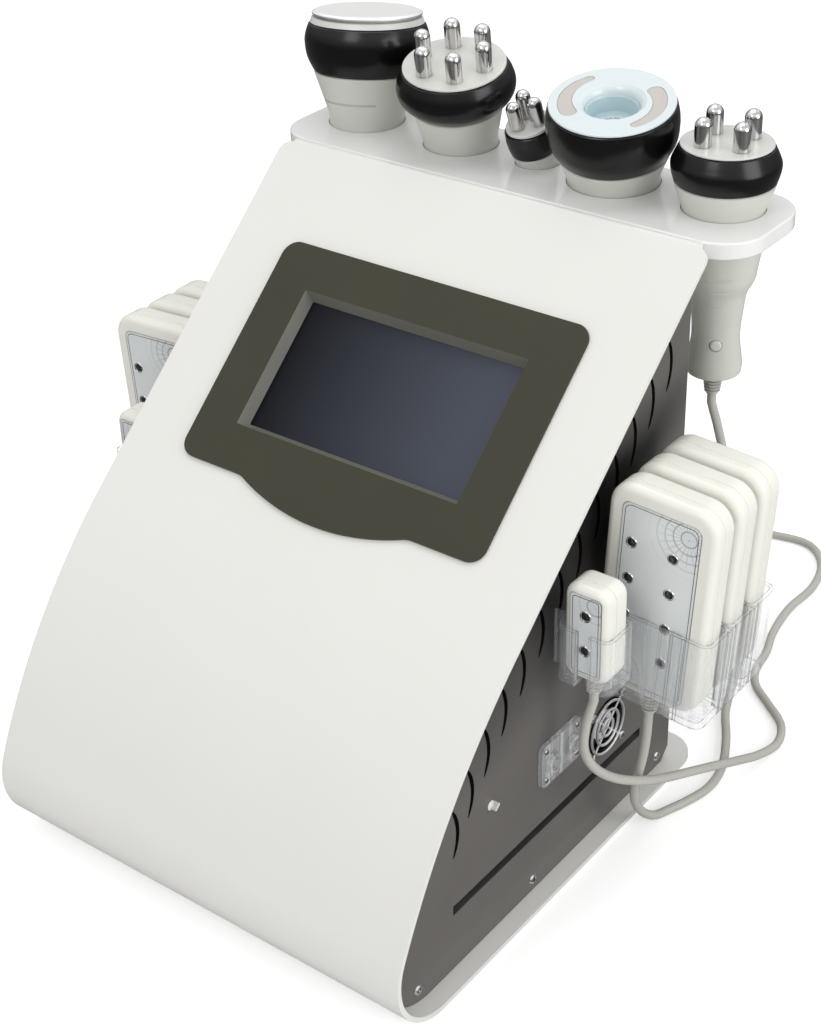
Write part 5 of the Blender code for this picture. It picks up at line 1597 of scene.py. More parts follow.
@dataclass
class Screen:
    """The surround with its bellied lower edge, the glass and the display module."""

    width: float = 216 * MM
    length: float = 145 * MM
    corner: float = 10 * MM
    plate_thick: float = 1.5 * MM
    belly_half: float = 60 * MM
    belly_sag: float = 12.5 * MM
    fillet: float = 15 * MM
    window: tuple[float, float] = mm(158.5, 89.7)
    taper: float = 3.6 * MM
    tub: tuple[float, float, float] = mm(176, 108, 5.3)
    glass: float = 2.5 * MM
    margin: float = 3 * MM

    def outline(self) -> Loop:
        """A rectangle with round corners whose lower edge swells into a belly.

        Returns:
            Its outline.
        """
        half, steps = self.length / 2, 14
        swell = (self.belly_half**2 + self.belly_sag**2) / (2 * self.belly_sag)
        middle = swell - self.belly_sag - half
        rise = middle + half + self.fillet
        foot = math.sqrt((swell + self.fillet) ** 2 - rise**2)
        lean = math.atan2(foot, rise)
        found = box_loop(self.width, self.length, self.corner, steps)
        split = 3 * (steps + 1)
        left = [
            (-foot + self.fillet * math.sin(lean * k / steps),
             -half - self.fillet * (1 - math.cos(lean * k / steps)))
            for k in range(1, steps)
        ]
        round_part = [
            (swell * math.sin(lean * k / steps), middle - swell * math.cos(lean * k / steps))
            for k in range(-steps, steps + 1)
        ]
        right = [(-x, y) for x, y in left[::-1]]
        return found[:split] + left + round_part + right + found[split:]

    def window_solid(self) -> bmesh.types.BMesh:
        """The tapered opening.

        Returns:
            A solid to cut it with.
        """
        depth = self.tub[2] + self.plate_thick + SIZES.gap
        over = 4 * MM
        loops = []
        for height in (-depth - over, over):
            spread = self.taper * height / depth
            loop = box_loop(self.window[0] + 2 * spread, self.window[1] + 2 * spread, 0.8 * MM, 3)
            loops.append([Vector((x, y, SIZES.gap + self.plate_thick + height)) for x, y in loop])
        return loft(loops)

    def paint_reveal(self, mesh: bpy.types.Mesh) -> None:
        """Give the leaning walls round the display a lighter copy of the bezel's finish, as painted
        light.

        Args:
            mesh: The surround's mesh.
        """
        # The reveal walls get the bezel's plastic in a lighter tint: painted light.
        mesh.materials.append(palette["bezel_reveal"])
        level = SIZES.on_slope.inverted()
        for face in mesh.polygons:
            spot = level @ face.center
            within = max(abs(spot.x) - self.window[0] / 2, abs(spot.y) - self.window[1] / 2)
            if within < 0.2 * MM and abs((level.to_3x3() @ face.normal).z) < 0.8:
                face.material_index = 1

    def build(self) -> None:
        """Surround, glass and module."""
        low = SIZES.gap
        cage = plate([self.outline()], low, low + self.plate_thick)
        deep = self.tub[2] + low + self.plate_thick / 2
        tub = box((*self.tub[:2], deep), (0, 0, low + self.plate_thick / 2 - deep / 2))
        cage = cut(cut(cage, [tub], "UNION"), [self.window_solid()])
        cage = moved(ease_edges(cage, 0.4 * MM, 3), SIZES.on_slope)
        piece = mount("screen_surround", cage, "bezel_olive_black", "console",
                      ("screen_bezel",), crease=30)
        self.paint_reveal(piece.data)
        size = (self.tub[0] - 2 * self.margin, self.tub[1] - 2 * self.margin, self.glass)
        top = -self.tub[2] - SIZES.gap
        glass = ease_edges(box(size, (0, 0, top - self.glass / 2)), 0.3 * MM)
        mount("touch_glass", glass, "display_off", "console", ("touch_panel",),
              SIZES.on_slope)
        repaint("zinc_steel", "display_module")


@dataclass
class Shelf:
    """The glossy shelf with a hole along each handpiece's axis, and its mounting lip."""

    width: float = 330 * MM
    depth: float = 82 * MM
    thick: float = 10 * MM
    corner: float = 27 * MM
    edge: float = 1.3 * MM
    lip: tuple[float, float, float] = mm(236, 3, 62)
    screw_row: tuple[float, ...] = mm(-100, -35, 35, 100)
    screw_height: float = 303 * MM

    def build(self) -> None:
        """Cut the holes and add the lip with its screws."""
        front = SIZES.flange_y + SIZES.gap
        arc = [(self.edge * (1 - sin), self.edge * (1 - cos)) for sin, cos in quarter(6)]
        rims = [(sink, SIZES.shelf_top - drop) for sink, drop in arc]
        rims += [(sink, SIZES.shelf_top - self.thick + drop) for sink, drop in arc[:0:-1]]
        loops = []
        for sink, high in rims:
            loop = box_loop(self.width - 2 * sink, self.depth - 2 * sink, self.corner - sink, 14,
                            (0, front + self.depth / 2))
            loops.append([Vector((x, y, high)) for x, y in loop])
        cage = loft(loops)
        lip = box(
            (self.lip[0], self.lip[1], self.lip[2] + self.thick / 2),
            (0, front + self.lip[1] / 2,
             SIZES.shelf_top - self.thick / 2 - (self.lip[2] + self.thick / 2) / 2),
        )
        cage = cut(cage, [lip], "UNION")
        holes = []
        for piece in HANDPIECES:
            radius = piece.neck + SIZES.gap * 1.4
            holes.append(moved(rod(radius, 40 * MM, -40 * MM, 72), piece.seat()))
        cage = ease_edges(cut(cage, holes), 0.35 * MM, 2, 55)
        mount("gloss_shelf", cage, "shelf_gloss_white", "console",
              ("handpiece_shelf",), crease=42)
        screws("lip_screw", 2.6 * MM, [
            at(x, front + self.lip[1], self.screw_height) @ REARWARD
            for x in self.screw_row
        ])


# Handpieces


@dataclass
class Handpiece:
    """One handpiece, measured along its own axis up from the top of the shelf."""

    name: str
    x: float
    lean: tuple[float, float]
    neck: float
    low: tuple[float, float]
    mid: tuple[float, float]
    top: tuple[float, float]
    head: tuple[float, float]
    kind: Top
    scale: float = 1.0
    pins: tuple[int, float, float, float, float] = (0, 0, 0, 0, 0)
    relief: bool = False
    grip_length: float = 104 * MM
    grip_radius: float = 23.5 * MM
    collar: float = 18 * MM
    spigot_rise: float = 8 * MM
    key_drop: float = 80 * MM
    key_radius: float = 3.5 * MM
    shares: tuple[tuple[float, float], ...] = (
        (0.25, 0.9), (0.4, 0.68), (0.7, 0.6), (0.93, 0.7), (0.985, 0.68),
    )

    def seat(self) -> Matrix:
        """Where the handpiece stands.

        Returns:
            Its own frame.
        """
        place = at(self.x, SIZES.row_y, SIZES.shelf_top)
        forward, aside = (math.radians(angle) for angle in self.lean)
        return place @ Matrix.Rotation(aside, 4, "Y") @ Matrix.Rotation(forward, 4, "X")

    @property
    def rise(self) -> float:
        """How far down its axis the leaning neck stays straight, to clear the shelf.

        Returns:
            That length.
        """
        forward, aside = (math.radians(angle) for angle in self.lean)
        angle = math.acos(math.cos(forward) * math.cos(aside))
        return (self.neck + SIZES.gap) * math.tan(angle) + 2 * SIZES.gap

    @property
    def body(self) -> str:
        """The body it rides on."""
        return self.name + "_handpiece"

    @property
    def spigot(self) -> float:
        """Radius of the plug inside the band."""
        return self.low[1] - 9 * MM * self.neck / self.grip_radius

    @property
    def foot(self) -> float:
        """Height of the grip's lower end."""
        return -self.grip_length * math.sqrt(self.scale)

    @property
    def knots(self) -> Loop:
        """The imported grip's own points, from the neck down.

        Returns:
            Their radius and height.
        """
        sink = self.collar + self.rise
        return [(self.neck, -sink)] + [
            (self.grip_radius * self.scale * wide, -sink - (-self.foot - sink) * down)
            for down, wide in self.shares
        ]

    def handle_profile(self) -> Loop:
        """The handle from its spigot down to its foot.

        Returns:
            Radius and height of its points.
        """
        shoulder = [
            (0, self.low[0] + self.spigot_rise), (self.spigot, self.low[0] + self.spigot_rise),
            (self.spigot, self.low[0]), (self.low[1] - 0.6 * MM, self.low[0]),
            (self.low[1], self.low[0] - 0.6 * MM),
        ]
        knots, steps = self.knots[:-1], 6
        grip = []
        for k, (soft, _) in enumerate(spline(knots, steps)):
            start, end = knots[k // steps], knots[k // steps + 1]
            t = k % steps / steps
            flat = start[0] + (end[0] - start[0]) * (t * t * (3 - 2 * t))
            grip.append(((soft + flat) / 2, start[1] + (end[1] - start[1]) * t))
        end_radius = self.grip_radius * self.scale * self.shares[-1][1]
        end = [(end_radius, self.foot + 2 * MM * self.scale), (end_radius * 0.76, self.foot),
               (0, self.foot)]
        body = [(self.neck, self.rise)] + grip + [knots[-1]] + end
        return shoulder + eased(body, 1.2 * MM, 3)

    def build_handle(self) -> None:
        """The grey handle with its button, and the relief of its cord if it has one."""
        cage = lathe(self.handle_profile(), 96)
        down = -self.key_drop * math.sqrt(self.scale)
        turn = Matrix.Rotation(math.radians(-60), 4, "Z") @ Matrix.Rotation(math.pi / 2, 4, "Y")
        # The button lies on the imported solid's own surface, straight between the grip's points.
        face = width_at(self.knots, down, self.neck) + 0.9 * MM
        floor = face - 4.2 * MM - 0.8 * MM - SIZES.gap
        pocket = rod(self.key_radius + SIZES.gap, 30 * MM, floor)
        cutters = [moved(pocket, at(0, 0, down) @ turn)]
        if self.name == "cavitation":
            turns = [math.radians(-160 + 5 * k) for k in range(25)]
            outer, inner = 40 * MM, 26.2 * MM
            slot = [(outer * math.cos(a), outer * math.sin(a)) for a in turns]
            slot += [(inner * math.cos(a), inner * math.sin(a)) for a in turns[::-1]]
            cutters.append(plate([slot], 12.8 * MM, 14.2 * MM))
        if not self.relief:
            cutters.append(rod(5 * MM, self.foot + 6 * MM, self.foot - 6 * MM))
        cage = cut(cage, cutters)
        mount(f"{self.name}_grip", cage, "grip_pearl_grey", self.body,
              (self.name + "_handle",), self.seat(), 32)
        cap = lathe(eased([mm(0, 0.1), mm(1.6, 0), mm(2.6, -0.15),
                           mm(3.5, -0.9), mm(3.5, -4.2), mm(0, -4.2)],
                          0.3 * MM, 3), 40)
        place = self.seat() @ at(0, 0, down) @ turn
        mount(f"{self.name}_key_cap", cap, "head_pale_grey", self.name + "_key",
              (self.name + "_button",), place @ at(0, 0, face - 0.1 * MM))
        if self.relief:
            strain_relief(
                f"{self.name}_relief", self.seat() @ at(0, 0, self.foot),
                14 * MM, self.body, 6 * MM,
            )
        self.build_grooves()

    def build_grooves(self) -> None:
        """Three short ribs on the grip under the thumb."""
        whole = bmesh.new()
        profile = self.handle_profile()[5:]
        turns = [-1.05 + 0.34 * (2 * s / 10 - 1) for s in range(11)]
        for k in range(3):
            height = (-36 - 9 * k) * MM * math.sqrt(self.scale)
            reach = width_at(profile, height, self.neck)
            rib = tube([Vector((reach * math.cos(a), reach * math.sin(a), height)) for a in turns],
                       0.6 * MM, 10)
            mesh = bpy.data.meshes.new("rib")
            rib.to_mesh(mesh)
            rib.free()
            whole.from_mesh(mesh)
            bpy.data.meshes.remove(mesh)
        mount(f"{self.name}_ribs", whole, "grip_pearl_grey", self.body,
              place=self.seat(), crease=60)

    def build_band(self) -> None:
        """The black band, a turned ring with a soft belly."""
        bore, low = self.spigot + SIZES.gap, self.low[0] + SIZES.gap
        crown = (self.mid[1] + self.top[1]) / 2
        waist = (self.mid[1] + self.low[1]) / 2
        bulge = (self.mid[1] - self.low[1]) / 4
        knots = [
            (self.top[1], self.top[0]), (crown + bulge / 2, (self.top[0] + self.mid[0]) / 2),
            (self.mid[1], self.mid[0]), (waist + bulge, (self.mid[0] + low) / 2),
            (self.low[1], low),
        ]
        outer = spline(knots, 7)
        edge = 0.5 * MM
        ring = [(bore, self.top[0]), (self.top[1] - edge, self.top[0])]
        ring += [(r, min(h, self.top[0] - edge)) for r, h in outer]
        ring += [(self.low[1], low + 0.4 * MM), (self.low[1] - 0.4 * MM, low), (bore, low)]
        mount(f"{self.name}_collar", lathe(ring, 96, closed=True), "band_satin_black", self.body,
              (self.name + "_band",), self.seat(), 40)

    def build_head(self) -> None:
        """The pale head and what stands on it."""
        low = self.top[0] + SIZES.gap
        top, wide = self.head
        floor = self.low[0] + self.spigot_rise + SIZES.gap
        if self.kind is Top.DISC:
            disc = eased([(0, top), (wide - 2 * MM, top), (wide, top - 0.9 * MM),
                          (wide, top - 2 * MM), (wide - 1.2 * MM, top - 2.3 * MM),
                          (0, top - 2.3 * MM)], 0.35 * MM, 3)
            mount("cavitation_disc", lathe(disc, 128), "spun_aluminium", self.body,
                  place=self.seat(), crease=24)
            waist = (wide - 4 * MM, top - 3.6 * MM)
            rim = [(0, top - 2.3 * MM), (waist[0], top - 2.3 * MM), waist,
                   (wide - 0.6 * MM, waist[1]), (wide + 0.2 * MM, waist[1] - 0.5 * MM),
                   (wide + 1.2 * MM, low + 0.3 * MM)]
        else:
            edge = min(1.6 * MM, (top - low) * 0.45)
            rim = eased([(0, top), (wide, top), (wide, low + 0.4 * MM)], edge, 6)
        profile = rim + [(wide - 0.4 * MM, low), (self.spigot, low), (self.spigot, floor),
                         (0, floor)]
        cage = lathe(profile, 96)
        look = "head_pale_grey"
        if self.kind is Top.CUP:
            cage = self.build_cup(cage, top)
            look = "head_ice_white"
        mount(f"{self.name}_cap", cage, look, self.body, (self.name + "_head",),
              self.seat(), 32)
        if self.kind is Top.PINS:
            self.build_pins(top)

    def bean(self, outer: float, middle: float, half: float, thin: float, thick: float) -> Loop:
        """Outline of an electrode bent round the cup, wider towards one end.

        Args:
            outer: Radius of its outer edge.
            middle: Direction of its middle, in degrees.
            half: Half its sweep, in degrees, without its round ends.
            thin: Half its width where it begins.
            thick: Half its width where it ends.

        Returns:
            Its points.
        """
        steps = 20
        out, back = [], []
        for k in range(steps + 1):
            turn = math.radians(middle - half + 2 * half * k / steps)
            reach = outer - 2 * (thin + (thick - thin) * k / steps)
            out.append((outer * math.cos(turn), outer * math.sin(turn)))
            back.append((reach * math.cos(turn), reach * math.sin(turn)))
        found = out
        for end, wide, side in ((1, thick, back), (-1, thin, back)):
            turn = math.radians(middle + end * half)
            spot = ((outer - wide) * math.cos(turn), (outer - wide) * math.sin(turn))
            first = turn if end > 0 else turn + math.pi
            cap = [
                (spot[0] + wide * math.cos(first + math.pi * k / 10),
                 spot[1] + wide * math.sin(first + math.pi * k / 10))
                for k in range(1, 10)
            ]
            found = found + cap + (side[::-1] if end > 0 else [])
        return found

    def build_cup(self, cage: bmesh.types.BMesh, top: float) -> bmesh.types.BMesh:
        """Sink the suction cup and seat its lining, its filter and the two electrodes.

        Args:
            cage: The head; it is used up.
            top: Height of its top.

        Returns:
            The head with its recesses.
        """
        radius, depth = 15 * MM, 17 * MM
        flare = [(0, 30), (19.9, 30), (19.7, 0.2), (19.1, -0.35), (17.8, -1), (16.7, -2.1),
                 (15.9, -3.6), (15.4, -5.5)]
        hole = lathe([(x * MM, z * MM) for x, z in flare] + [(radius, -8 * MM), (radius, -depth),
                                                             (0, -depth)], 96)
        cutters = [moved(hole, at(0, 0, top))]
        for k, middle in enumerate((11, 191)):
            groove = self.bean(31.1 * MM, middle, 42, 2.8 * MM, 4.9 * MM)
            cutters.append(plate([groove], top - 0.9 * MM, top + MM))
            shape = self.bean(30.8 * MM, middle, 42, 2.5 * MM, 4.6 * MM)
            strip = plate([shape], top - 0.85 * MM, top - 0.25 * MM)
            mount(f"vacuum_electrode_{k + 1}", ease_edges(strip, 0.2 * MM), "electrode_warm_grey",
                  self.body, place=self.seat(), crease=40)
        lining = lathe(eased([
            (15.4 * MM, top - 4.8 * MM), (14.6 * MM, top - 6 * MM),
            (13.9 * MM, top - depth + 2 * MM), (9 * MM, top - depth + 0.5 * MM),
            (0, top - depth + 0.5 * MM), (0, top - depth + 0.1 * MM),
            (14.9 * MM, top - depth + 0.1 * MM), (15.3 * MM, top - 5.6 * MM),
        ], 0.4 * MM, 3), 96)
        mount("vacuum_lining", lining, "cup_pale_cyan", self.body, place=self.seat())
        low, high = top - depth + 0.4 * MM, top - depth + 1.5 * MM
        rings = [washer(r, r + 1 * MM, high, low) for r in mm(2.5, 5.5, 8.3)]
        bars = [moved(box(mm(17.5, 1.1, 1), (0, 0, top - depth + 0.9 * MM)),
                      Matrix.Rotation(a * math.pi / 3, 4, "Z")) for a in range(3)]
        grid = cut(rings[0], rings[1:] + bars, "UNION")
        mount("vacuum_filter", grid, "head_ice_white", self.body, place=self.seat())
        return cut(cage, cutters)

    def build_pins(self, top: float) -> None:
        """Put in the satin chrome pins with domed ends.

        Args:
            top: Height of the head's upper face.
        """
        count, ring, turn, radius, height = self.pins
        dome = [(radius * math.sin(a * math.pi / 20), top + height - radius
                 + radius * math.cos(a * math.pi / 20)) for a in range(11)]
        profile = dome + [(radius, top + 0.5 * MM), (radius - 0.35 * MM, top + 0.2 * MM),
                          (radius - 0.35 * MM, top - 0.6 * MM), (0, top - 0.6 * MM)]
        mesh = shaded(lathe(profile, 48), "pin", "pin_satin_chrome", 40)
        for k in range(count):
            angle = math.radians(turn) + math.tau * k / count
            place = at(ring * math.cos(angle), ring * math.sin(angle), 0)
            mount(f"{self.name}_pin_{k + 1}", mesh, "", self.body,
                  place=self.seat() @ place)

    def build(self) -> None:
        """The whole handpiece."""
        self.build_handle()
        self.build_band()
        self.build_head()


HANDPIECES = (
    Handpiece("cavitation", -127.8 * MM, (-8, -3.5), 23.8 * MM, mm(30.5, 33),
              mm(48.5, 38.9), mm(60, 36.3), mm(67.6, 34.3), Top.DISC),
    Handpiece("wide_rf", -54.8 * MM, (11, 3.5), 23 * MM, mm(27.5, 27.7),
              mm(40, 36), mm(52.5, 31.6), mm(54.4, 31.1), Top.PINS,
              pins=(6, 20.6 * MM, 7, 4.9 * MM, 18 * MM)),
    Handpiece("facial_rf", 2 * MM, (18, -3.5), 13.3 * MM, mm(9.8, 14.3),
              mm(18, 15.4), mm(25.5, 14.9), mm(28, 13.8), Top.PINS, 0.62,
              (3, 7.2 * MM, 5, 4.4 * MM, 17.5 * MM)),
    Handpiece("vacuum_rf", 54.5 * MM, (11, 4), 27.3 * MM, mm(20.5, 32.8),
              mm(36, 38.1), mm(50.5, 36.8), mm(52.3, 36.3), Top.CUP),
    Handpiece("body_rf", 126.8 * MM, (0, 0), 23.7 * MM, mm(16.2, 28.8),
              mm(27, 30.9), mm(36.8, 26.7), mm(38.4, 26.2), Top.PINS,
              pins=(4, 15.5 * MM, -32, 4.9 * MM, 16.5 * MM), relief=True),
)


# Pads and holders


@dataclass
class PadKind:
    """A laser pad of one size: its case, its face plate and its diodes."""

    word: str
    width: float
    thick: float
    height: float
    corner: float
    edge: float
    plate_size: tuple[float, float, float]
    plate_rise: float
    diodes: tuple[tuple[float, float], ...]
    print_look: str
    seam: float = 0.4

    def case(self) -> bpy.types.Mesh:
        """The case with the seam between its halves.

        Returns:
            Its mesh data, about its own centre and with its face to -Y.
        """
        half = self.thick / 2
        arc = [(self.edge * (1 - sin), self.edge * (1 - cos)) for sin, cos in quarter(6)]
        stations = [(inset, rise - half) for inset, rise in arc]
        seam = -half + self.thick * self.seam
        stations += [(0, seam - 0.5 * MM), (0.15 * MM, seam - 0.3 * MM), (0.5 * MM, seam - 0.2 * MM),
                     (0.5 * MM, seam + 0.2 * MM), (0.15 * MM, seam + 0.3 * MM), (0, seam + 0.5 * MM)]
        stations += [(inset, half - rise) for rise, inset in arc]
        loops = []
        for inset, depth in stations:
            loop = box_loop(self.width - 2 * inset, self.height - 2 * inset,
                            max(self.corner - inset, 1 * MM), 10)
            loops.append([Vector((x, depth, z)) for x, z in loop])
        return shaded(loft(loops), f"{self.word}_case", "pad_ivory", 30)

    def face(self) -> bpy.types.Mesh:
        """The printed plate.

        Returns:
            Its mesh data, its middle at the face's centre.
        """
        width, height, corner = self.plate_size
        loops = []
        for inset, depth in (mm(0, 0.15), mm(0, -0.12), mm(0.12, -0.22)):
            loop = box_loop(width - 2 * inset, height - 2 * inset, corner - inset, 8)
            loops.append([Vector((x, depth, z)) for x, z in loop])
        return shaded(loft(loops), f"{self.word}_plate", self.print_look, 60)

    def frame_line(self) -> bpy.types.Mesh:
        """The fine bright line round the plate.

        Returns:
            Its mesh data.
        """
        width, height, corner = self.plate_size
        path = [Vector((x, -0.05 * MM, z)) for x, z in box_loop(width, height, corner, 8)]
        return shaded(tube(path, 0.28 * MM, 6, closed=True), f"{self.word}_line", "zinc_steel", 80)

    def inset_line(self) -> bpy.types.Mesh:
        """The thin dark line just inside the plate's edge.

        Returns:
            Its mesh data.
        """
        width, height, corner = self.plate_size
        inset = 1.7 * MM
        loop = box_loop(width - 2 * inset, height - 2 * inset, corner - inset / 2, 8)
        path = [Vector((x, -0.12 * MM, z)) for x, z in loop]
        return shaded(tube(path, 0.24 * MM, 6, closed=True), f"{self.word}_inset", "black_plastic", 80)

    def diode(self, lens: bool) -> bpy.types.Mesh:
        """One part of a diode.

        Args:
            lens: Whether it is the dark lens, or else the bright ring.

        Returns:
            Its mesh data.
        """
        if lens:
            cage = lathe([mm(0, 0.75), mm(1.2, 0.66), mm(2.2, 0.4),
                          mm(2.75, 0.02), mm(2.75, -0.4), mm(0, -0.4)], 32)
        else:
            cage = lathe(eased([mm(2.8, 0.1), mm(2.95, 0.5), mm(3.3, 0.5),
                                mm(3.5, 0.1), mm(3.5, -0.4), mm(2.8, -0.4)],
                               0.12 * MM, 2), 40, closed=True)
        name = f"{self.word}_lens" if lens else f"{self.word}_ring"
        return shaded(cage, name, "lens_smoke" if lens else "chrome_plate", 40)


LARGE_PAD = PadKind(
    "large_pad", 67 * MM, 20 * MM, 132.5 * MM, 15 * MM, 4.5 * MM, mm(48, 117.8, 5),
    -2.35 * MM,
    tuple((x * MM, z * MM) for z in (34.2, 11.1, -12, -35.1) for x in (-16.7, 8.8)),
    "plate_print_large",
)
SMALL_PAD = PadKind(
    "small_pad", 28 * MM, 21 * MM, 59.5 * MM, 8 * MM, 4.5 * MM, mm(19.5, 51, 2.5),
    0, (mm(0, 12.5), mm(0, -9.8)), "plate_print_small",
)


@dataclass
class Holder:
    """A clear open-topped holder with a pocket for each pad, on webs against the side panel."""

    word: str
    kind: PadKind
    x: float
    fronts: tuple[float, ...]
    bottom: float
    rim: float
    outer_play: float
    lean: float
    wall: float = 2.2 * MM
    floor: float = 2.5 * MM
    play: float = 0.8 * MM

    @property
    def low_x(self) -> float:
        """Its inner wall's face towards the console."""
        return self.x - self.kind.width / 2 - self.play - self.wall

    @property
    def high_x(self) -> float:
        """Its outer wall's face."""
        return self.x + self.kind.width / 2 + self.outer_play + self.wall

    @property
    def span_y(self) -> tuple[float, float]:
        """Front and back faces."""
        edge = self.play + self.wall
        return self.fronts[0] - edge, self.fronts[-1] + self.kind.thick + edge

    def leaning(self, side: Side) -> Matrix:
        """The lean of the pads and their tray, outward round the rim."""
        pivot = at(side.value * self.x, 0, self.rim)
        return pivot @ Matrix.Rotation(side.value * self.lean, 4, "Y") @ pivot.inverted()

    def cutters(self, base: float) -> list[bmesh.types.BMesh]:
        """Pockets, cord holes, notches and flutes.

        Args:
            base: Height of the holder's underside.

        Returns:
            Solids to cut them with.
        """
        low_y, middle_x = self.span_y[0], (self.low_x + self.high_x) / 2
        found = []
        for front in self.fronts:
            y = front + self.kind.thick / 2
            pocket = box_loop(self.high_x - self.low_x - 2 * self.wall,
                              self.kind.thick + 2 * self.play, 3.8 * MM, 6, (middle_x, y))
            found.append(plate([pocket], base + self.floor, self.rim + 4 * MM))
            hole = round_loop(8 * MM, 40, (self.x, y))
            found.append(plate([hole], base - MM, base + 2 * self.floor))
        for back, front in zip(self.fronts, self.fronts[1:]):
            notch = (back + self.kind.thick + front) / 2
            found.append(box((12 * MM, 1.5 * MM, 2 * (self.rim - base)),
                             (self.high_x, notch, self.rim)))
            for shift in (-4.6, 4.6):
                flute = round_loop(0.9 * MM, 16, (self.high_x + 0.15 * MM, notch + shift * MM))
                found.append(plate([flute], base - MM, self.rim + MM))
        for k in range(3 if len(self.fronts) > 1 else 0):
            flute = round_loop(0.9 * MM, 16, (self.x + (8 + 7 * k) * MM, low_y - 0.35 * MM))
            found.append(plate([flute], base - MM, self.rim + MM))
        return found

    def webs(self, base: float) -> list[bmesh.types.BMesh]:
        """The two upright webs that reach to the side panel.

        Args:
            base: Height of the holder's underside.

        Returns:
            Their meshes.
        """
        low_y, high_y = self.span_y
        spots = [(low_y + self.wall / 2, 6 * MM), (high_y - self.wall / 2, 6 * MM)]
        if len(self.fronts) == 1:
            spots[0] = ((low_y + high_y) / 2, self.wall / 2)
        found = []
        for y, bite in spots:
            reach = self.low_x - SIZES.side_x - SIZES.gap + bite
            found.append(box(
                (reach, self.wall - SIZES.gap, self.rim - base - 2 * SIZES.gap),
                (SIZES.side_x + SIZES.gap + reach / 2, y, (self.rim + base) / 2),
            ))
        return found

    def build(self, side: Side) -> None:
        """One holder.

        Args:
            side: Where it goes.
        """
        low_y, high_y = self.span_y
        base = self.bottom - SIZES.gap - self.floor
        outline = box_loop(self.high_x - self.low_x, high_y - low_y, 6 * MM, 8,
                           ((self.low_x + self.high_x) / 2, (low_y + high_y) / 2))
        cage = cut(plate([outline], base, self.rim), self.cutters(base))
        cage = cut(moved(cage, self.leaning(Side.RIGHT)), self.webs(base), "UNION")
        if len(self.fronts) == 1:
            size = (8 * MM, high_y - low_y, 2 * (self.rim - base))
            cage = cut(cage, [box(size, (self.x, low_y, (self.rim + base) / 2))])
        lines = rim_lines(cage, 0.32 * MM)
        cage = ease_edges(cage, 0.35 * MM, 2, 55)
        if side is Side.LEFT:
            mirror = Matrix.Diagonal((-1, 1, 1, 1))
            cage, lines = moved(cage, mirror), moved(lines, mirror)
        name = f"{self.word}_{side.name.lower()}"
        mount(f"edges_{name}", lines, "acrylic_edge", "console")
        mount(f"clear_{name}", cage, "clear_acrylic", "console", (name,),
              crease=40)


TRAY = Holder("pad_tray", LARGE_PAD, 179.2 * MM, mm(36.2, 60.9, 85.6), 127 * MM,
              180 * MM, 2.3 * MM, math.radians(3.5))
SMALL_HOLDER = Holder("small_holder", SMALL_PAD, 164.4 * MM, (-6.6 * MM,), 159.4 * MM, 191 * MM,
                      0.8 * MM, 0)


@dataclass
class Pads:
    """Three large pads and a small one on each side, each in a clear holder."""

    holders: tuple[Holder, ...] = (TRAY, SMALL_HOLDER)

    def build_pad(
        self, kind: PadKind, shapes: dict[str, bpy.types.Mesh], node: str, place: Matrix,
        corded: bool,
    ) -> None:
        """One pad.

        Args:
            kind: Its size.
            shapes: The shared meshes of its kind.
            node: The node it stands for.
            place: Frame at the centre of its case.
            corded: Whether its cord shows.
        """
        body = node + "_body"
        mount(f"{node}_case", shapes["case"], "", body, (node,), place)
        front = place @ at(0, -kind.thick / 2, kind.plate_rise)
        mount(f"{node}_plate", shapes["face"], "", body, place=front)
        mount(f"{node}_line", shapes["line"], "", body, place=front)
        mount(f"{node}_inset", shapes["inset"], "", body, place=front)
        for k, (x, z) in enumerate(kind.diodes):
            spot = front @ at(x, -0.15 * MM, z) @ UPRIGHT
            mount(f"{node}_ring_{k + 1}", shapes["ring"], "", body, place=spot)
            mount(f"{node}_lens_{k + 1}", shapes["lens"], "", body, place=spot)
        foot = place @ at(0, 0, -kind.height / 2)
        if corded:
            strain_relief(f"{node}_relief", foot, 16 * MM if kind is LARGE_PAD else 13 * MM,
                          body, 5.5 * MM)
        else:
            gland = lathe(eased([(0, 0), mm(5.5, 0), mm(5.5, -3), mm(3.4, -3),
                                 mm(3, -1), mm(0, -1)], 0.3 * MM, 2), 40)
            mount(f"{node}_gland", gland, "cord_warm_grey", body, place=foot)

    def build(self) -> None:
        """All pads and holders."""
        for holder in self.holders:
            kind = holder.kind
            shapes = {
                "case": kind.case(), "face": kind.face(), "line": kind.frame_line(),
                "inset": kind.inset_line(), "ring": kind.diode(False), "lens": kind.diode(True),
            }
            for side in Side:
                for k, front in enumerate(holder.fronts):
                    number = f"_{k + 1}" if len(holder.fronts) > 1 else ""
                    middle = (side.value * holder.x, front + kind.thick / 2,
                              holder.bottom + kind.height / 2)
                    self.build_pad(
                        kind, shapes, f"{kind.word}_{side.name.lower()}{number}",
                        holder.leaning(side) @ Matrix.Translation(middle),
                        side is Side.RIGHT and k == 0,
                    )
                holder.build(side)


# Fan, bracket, rear


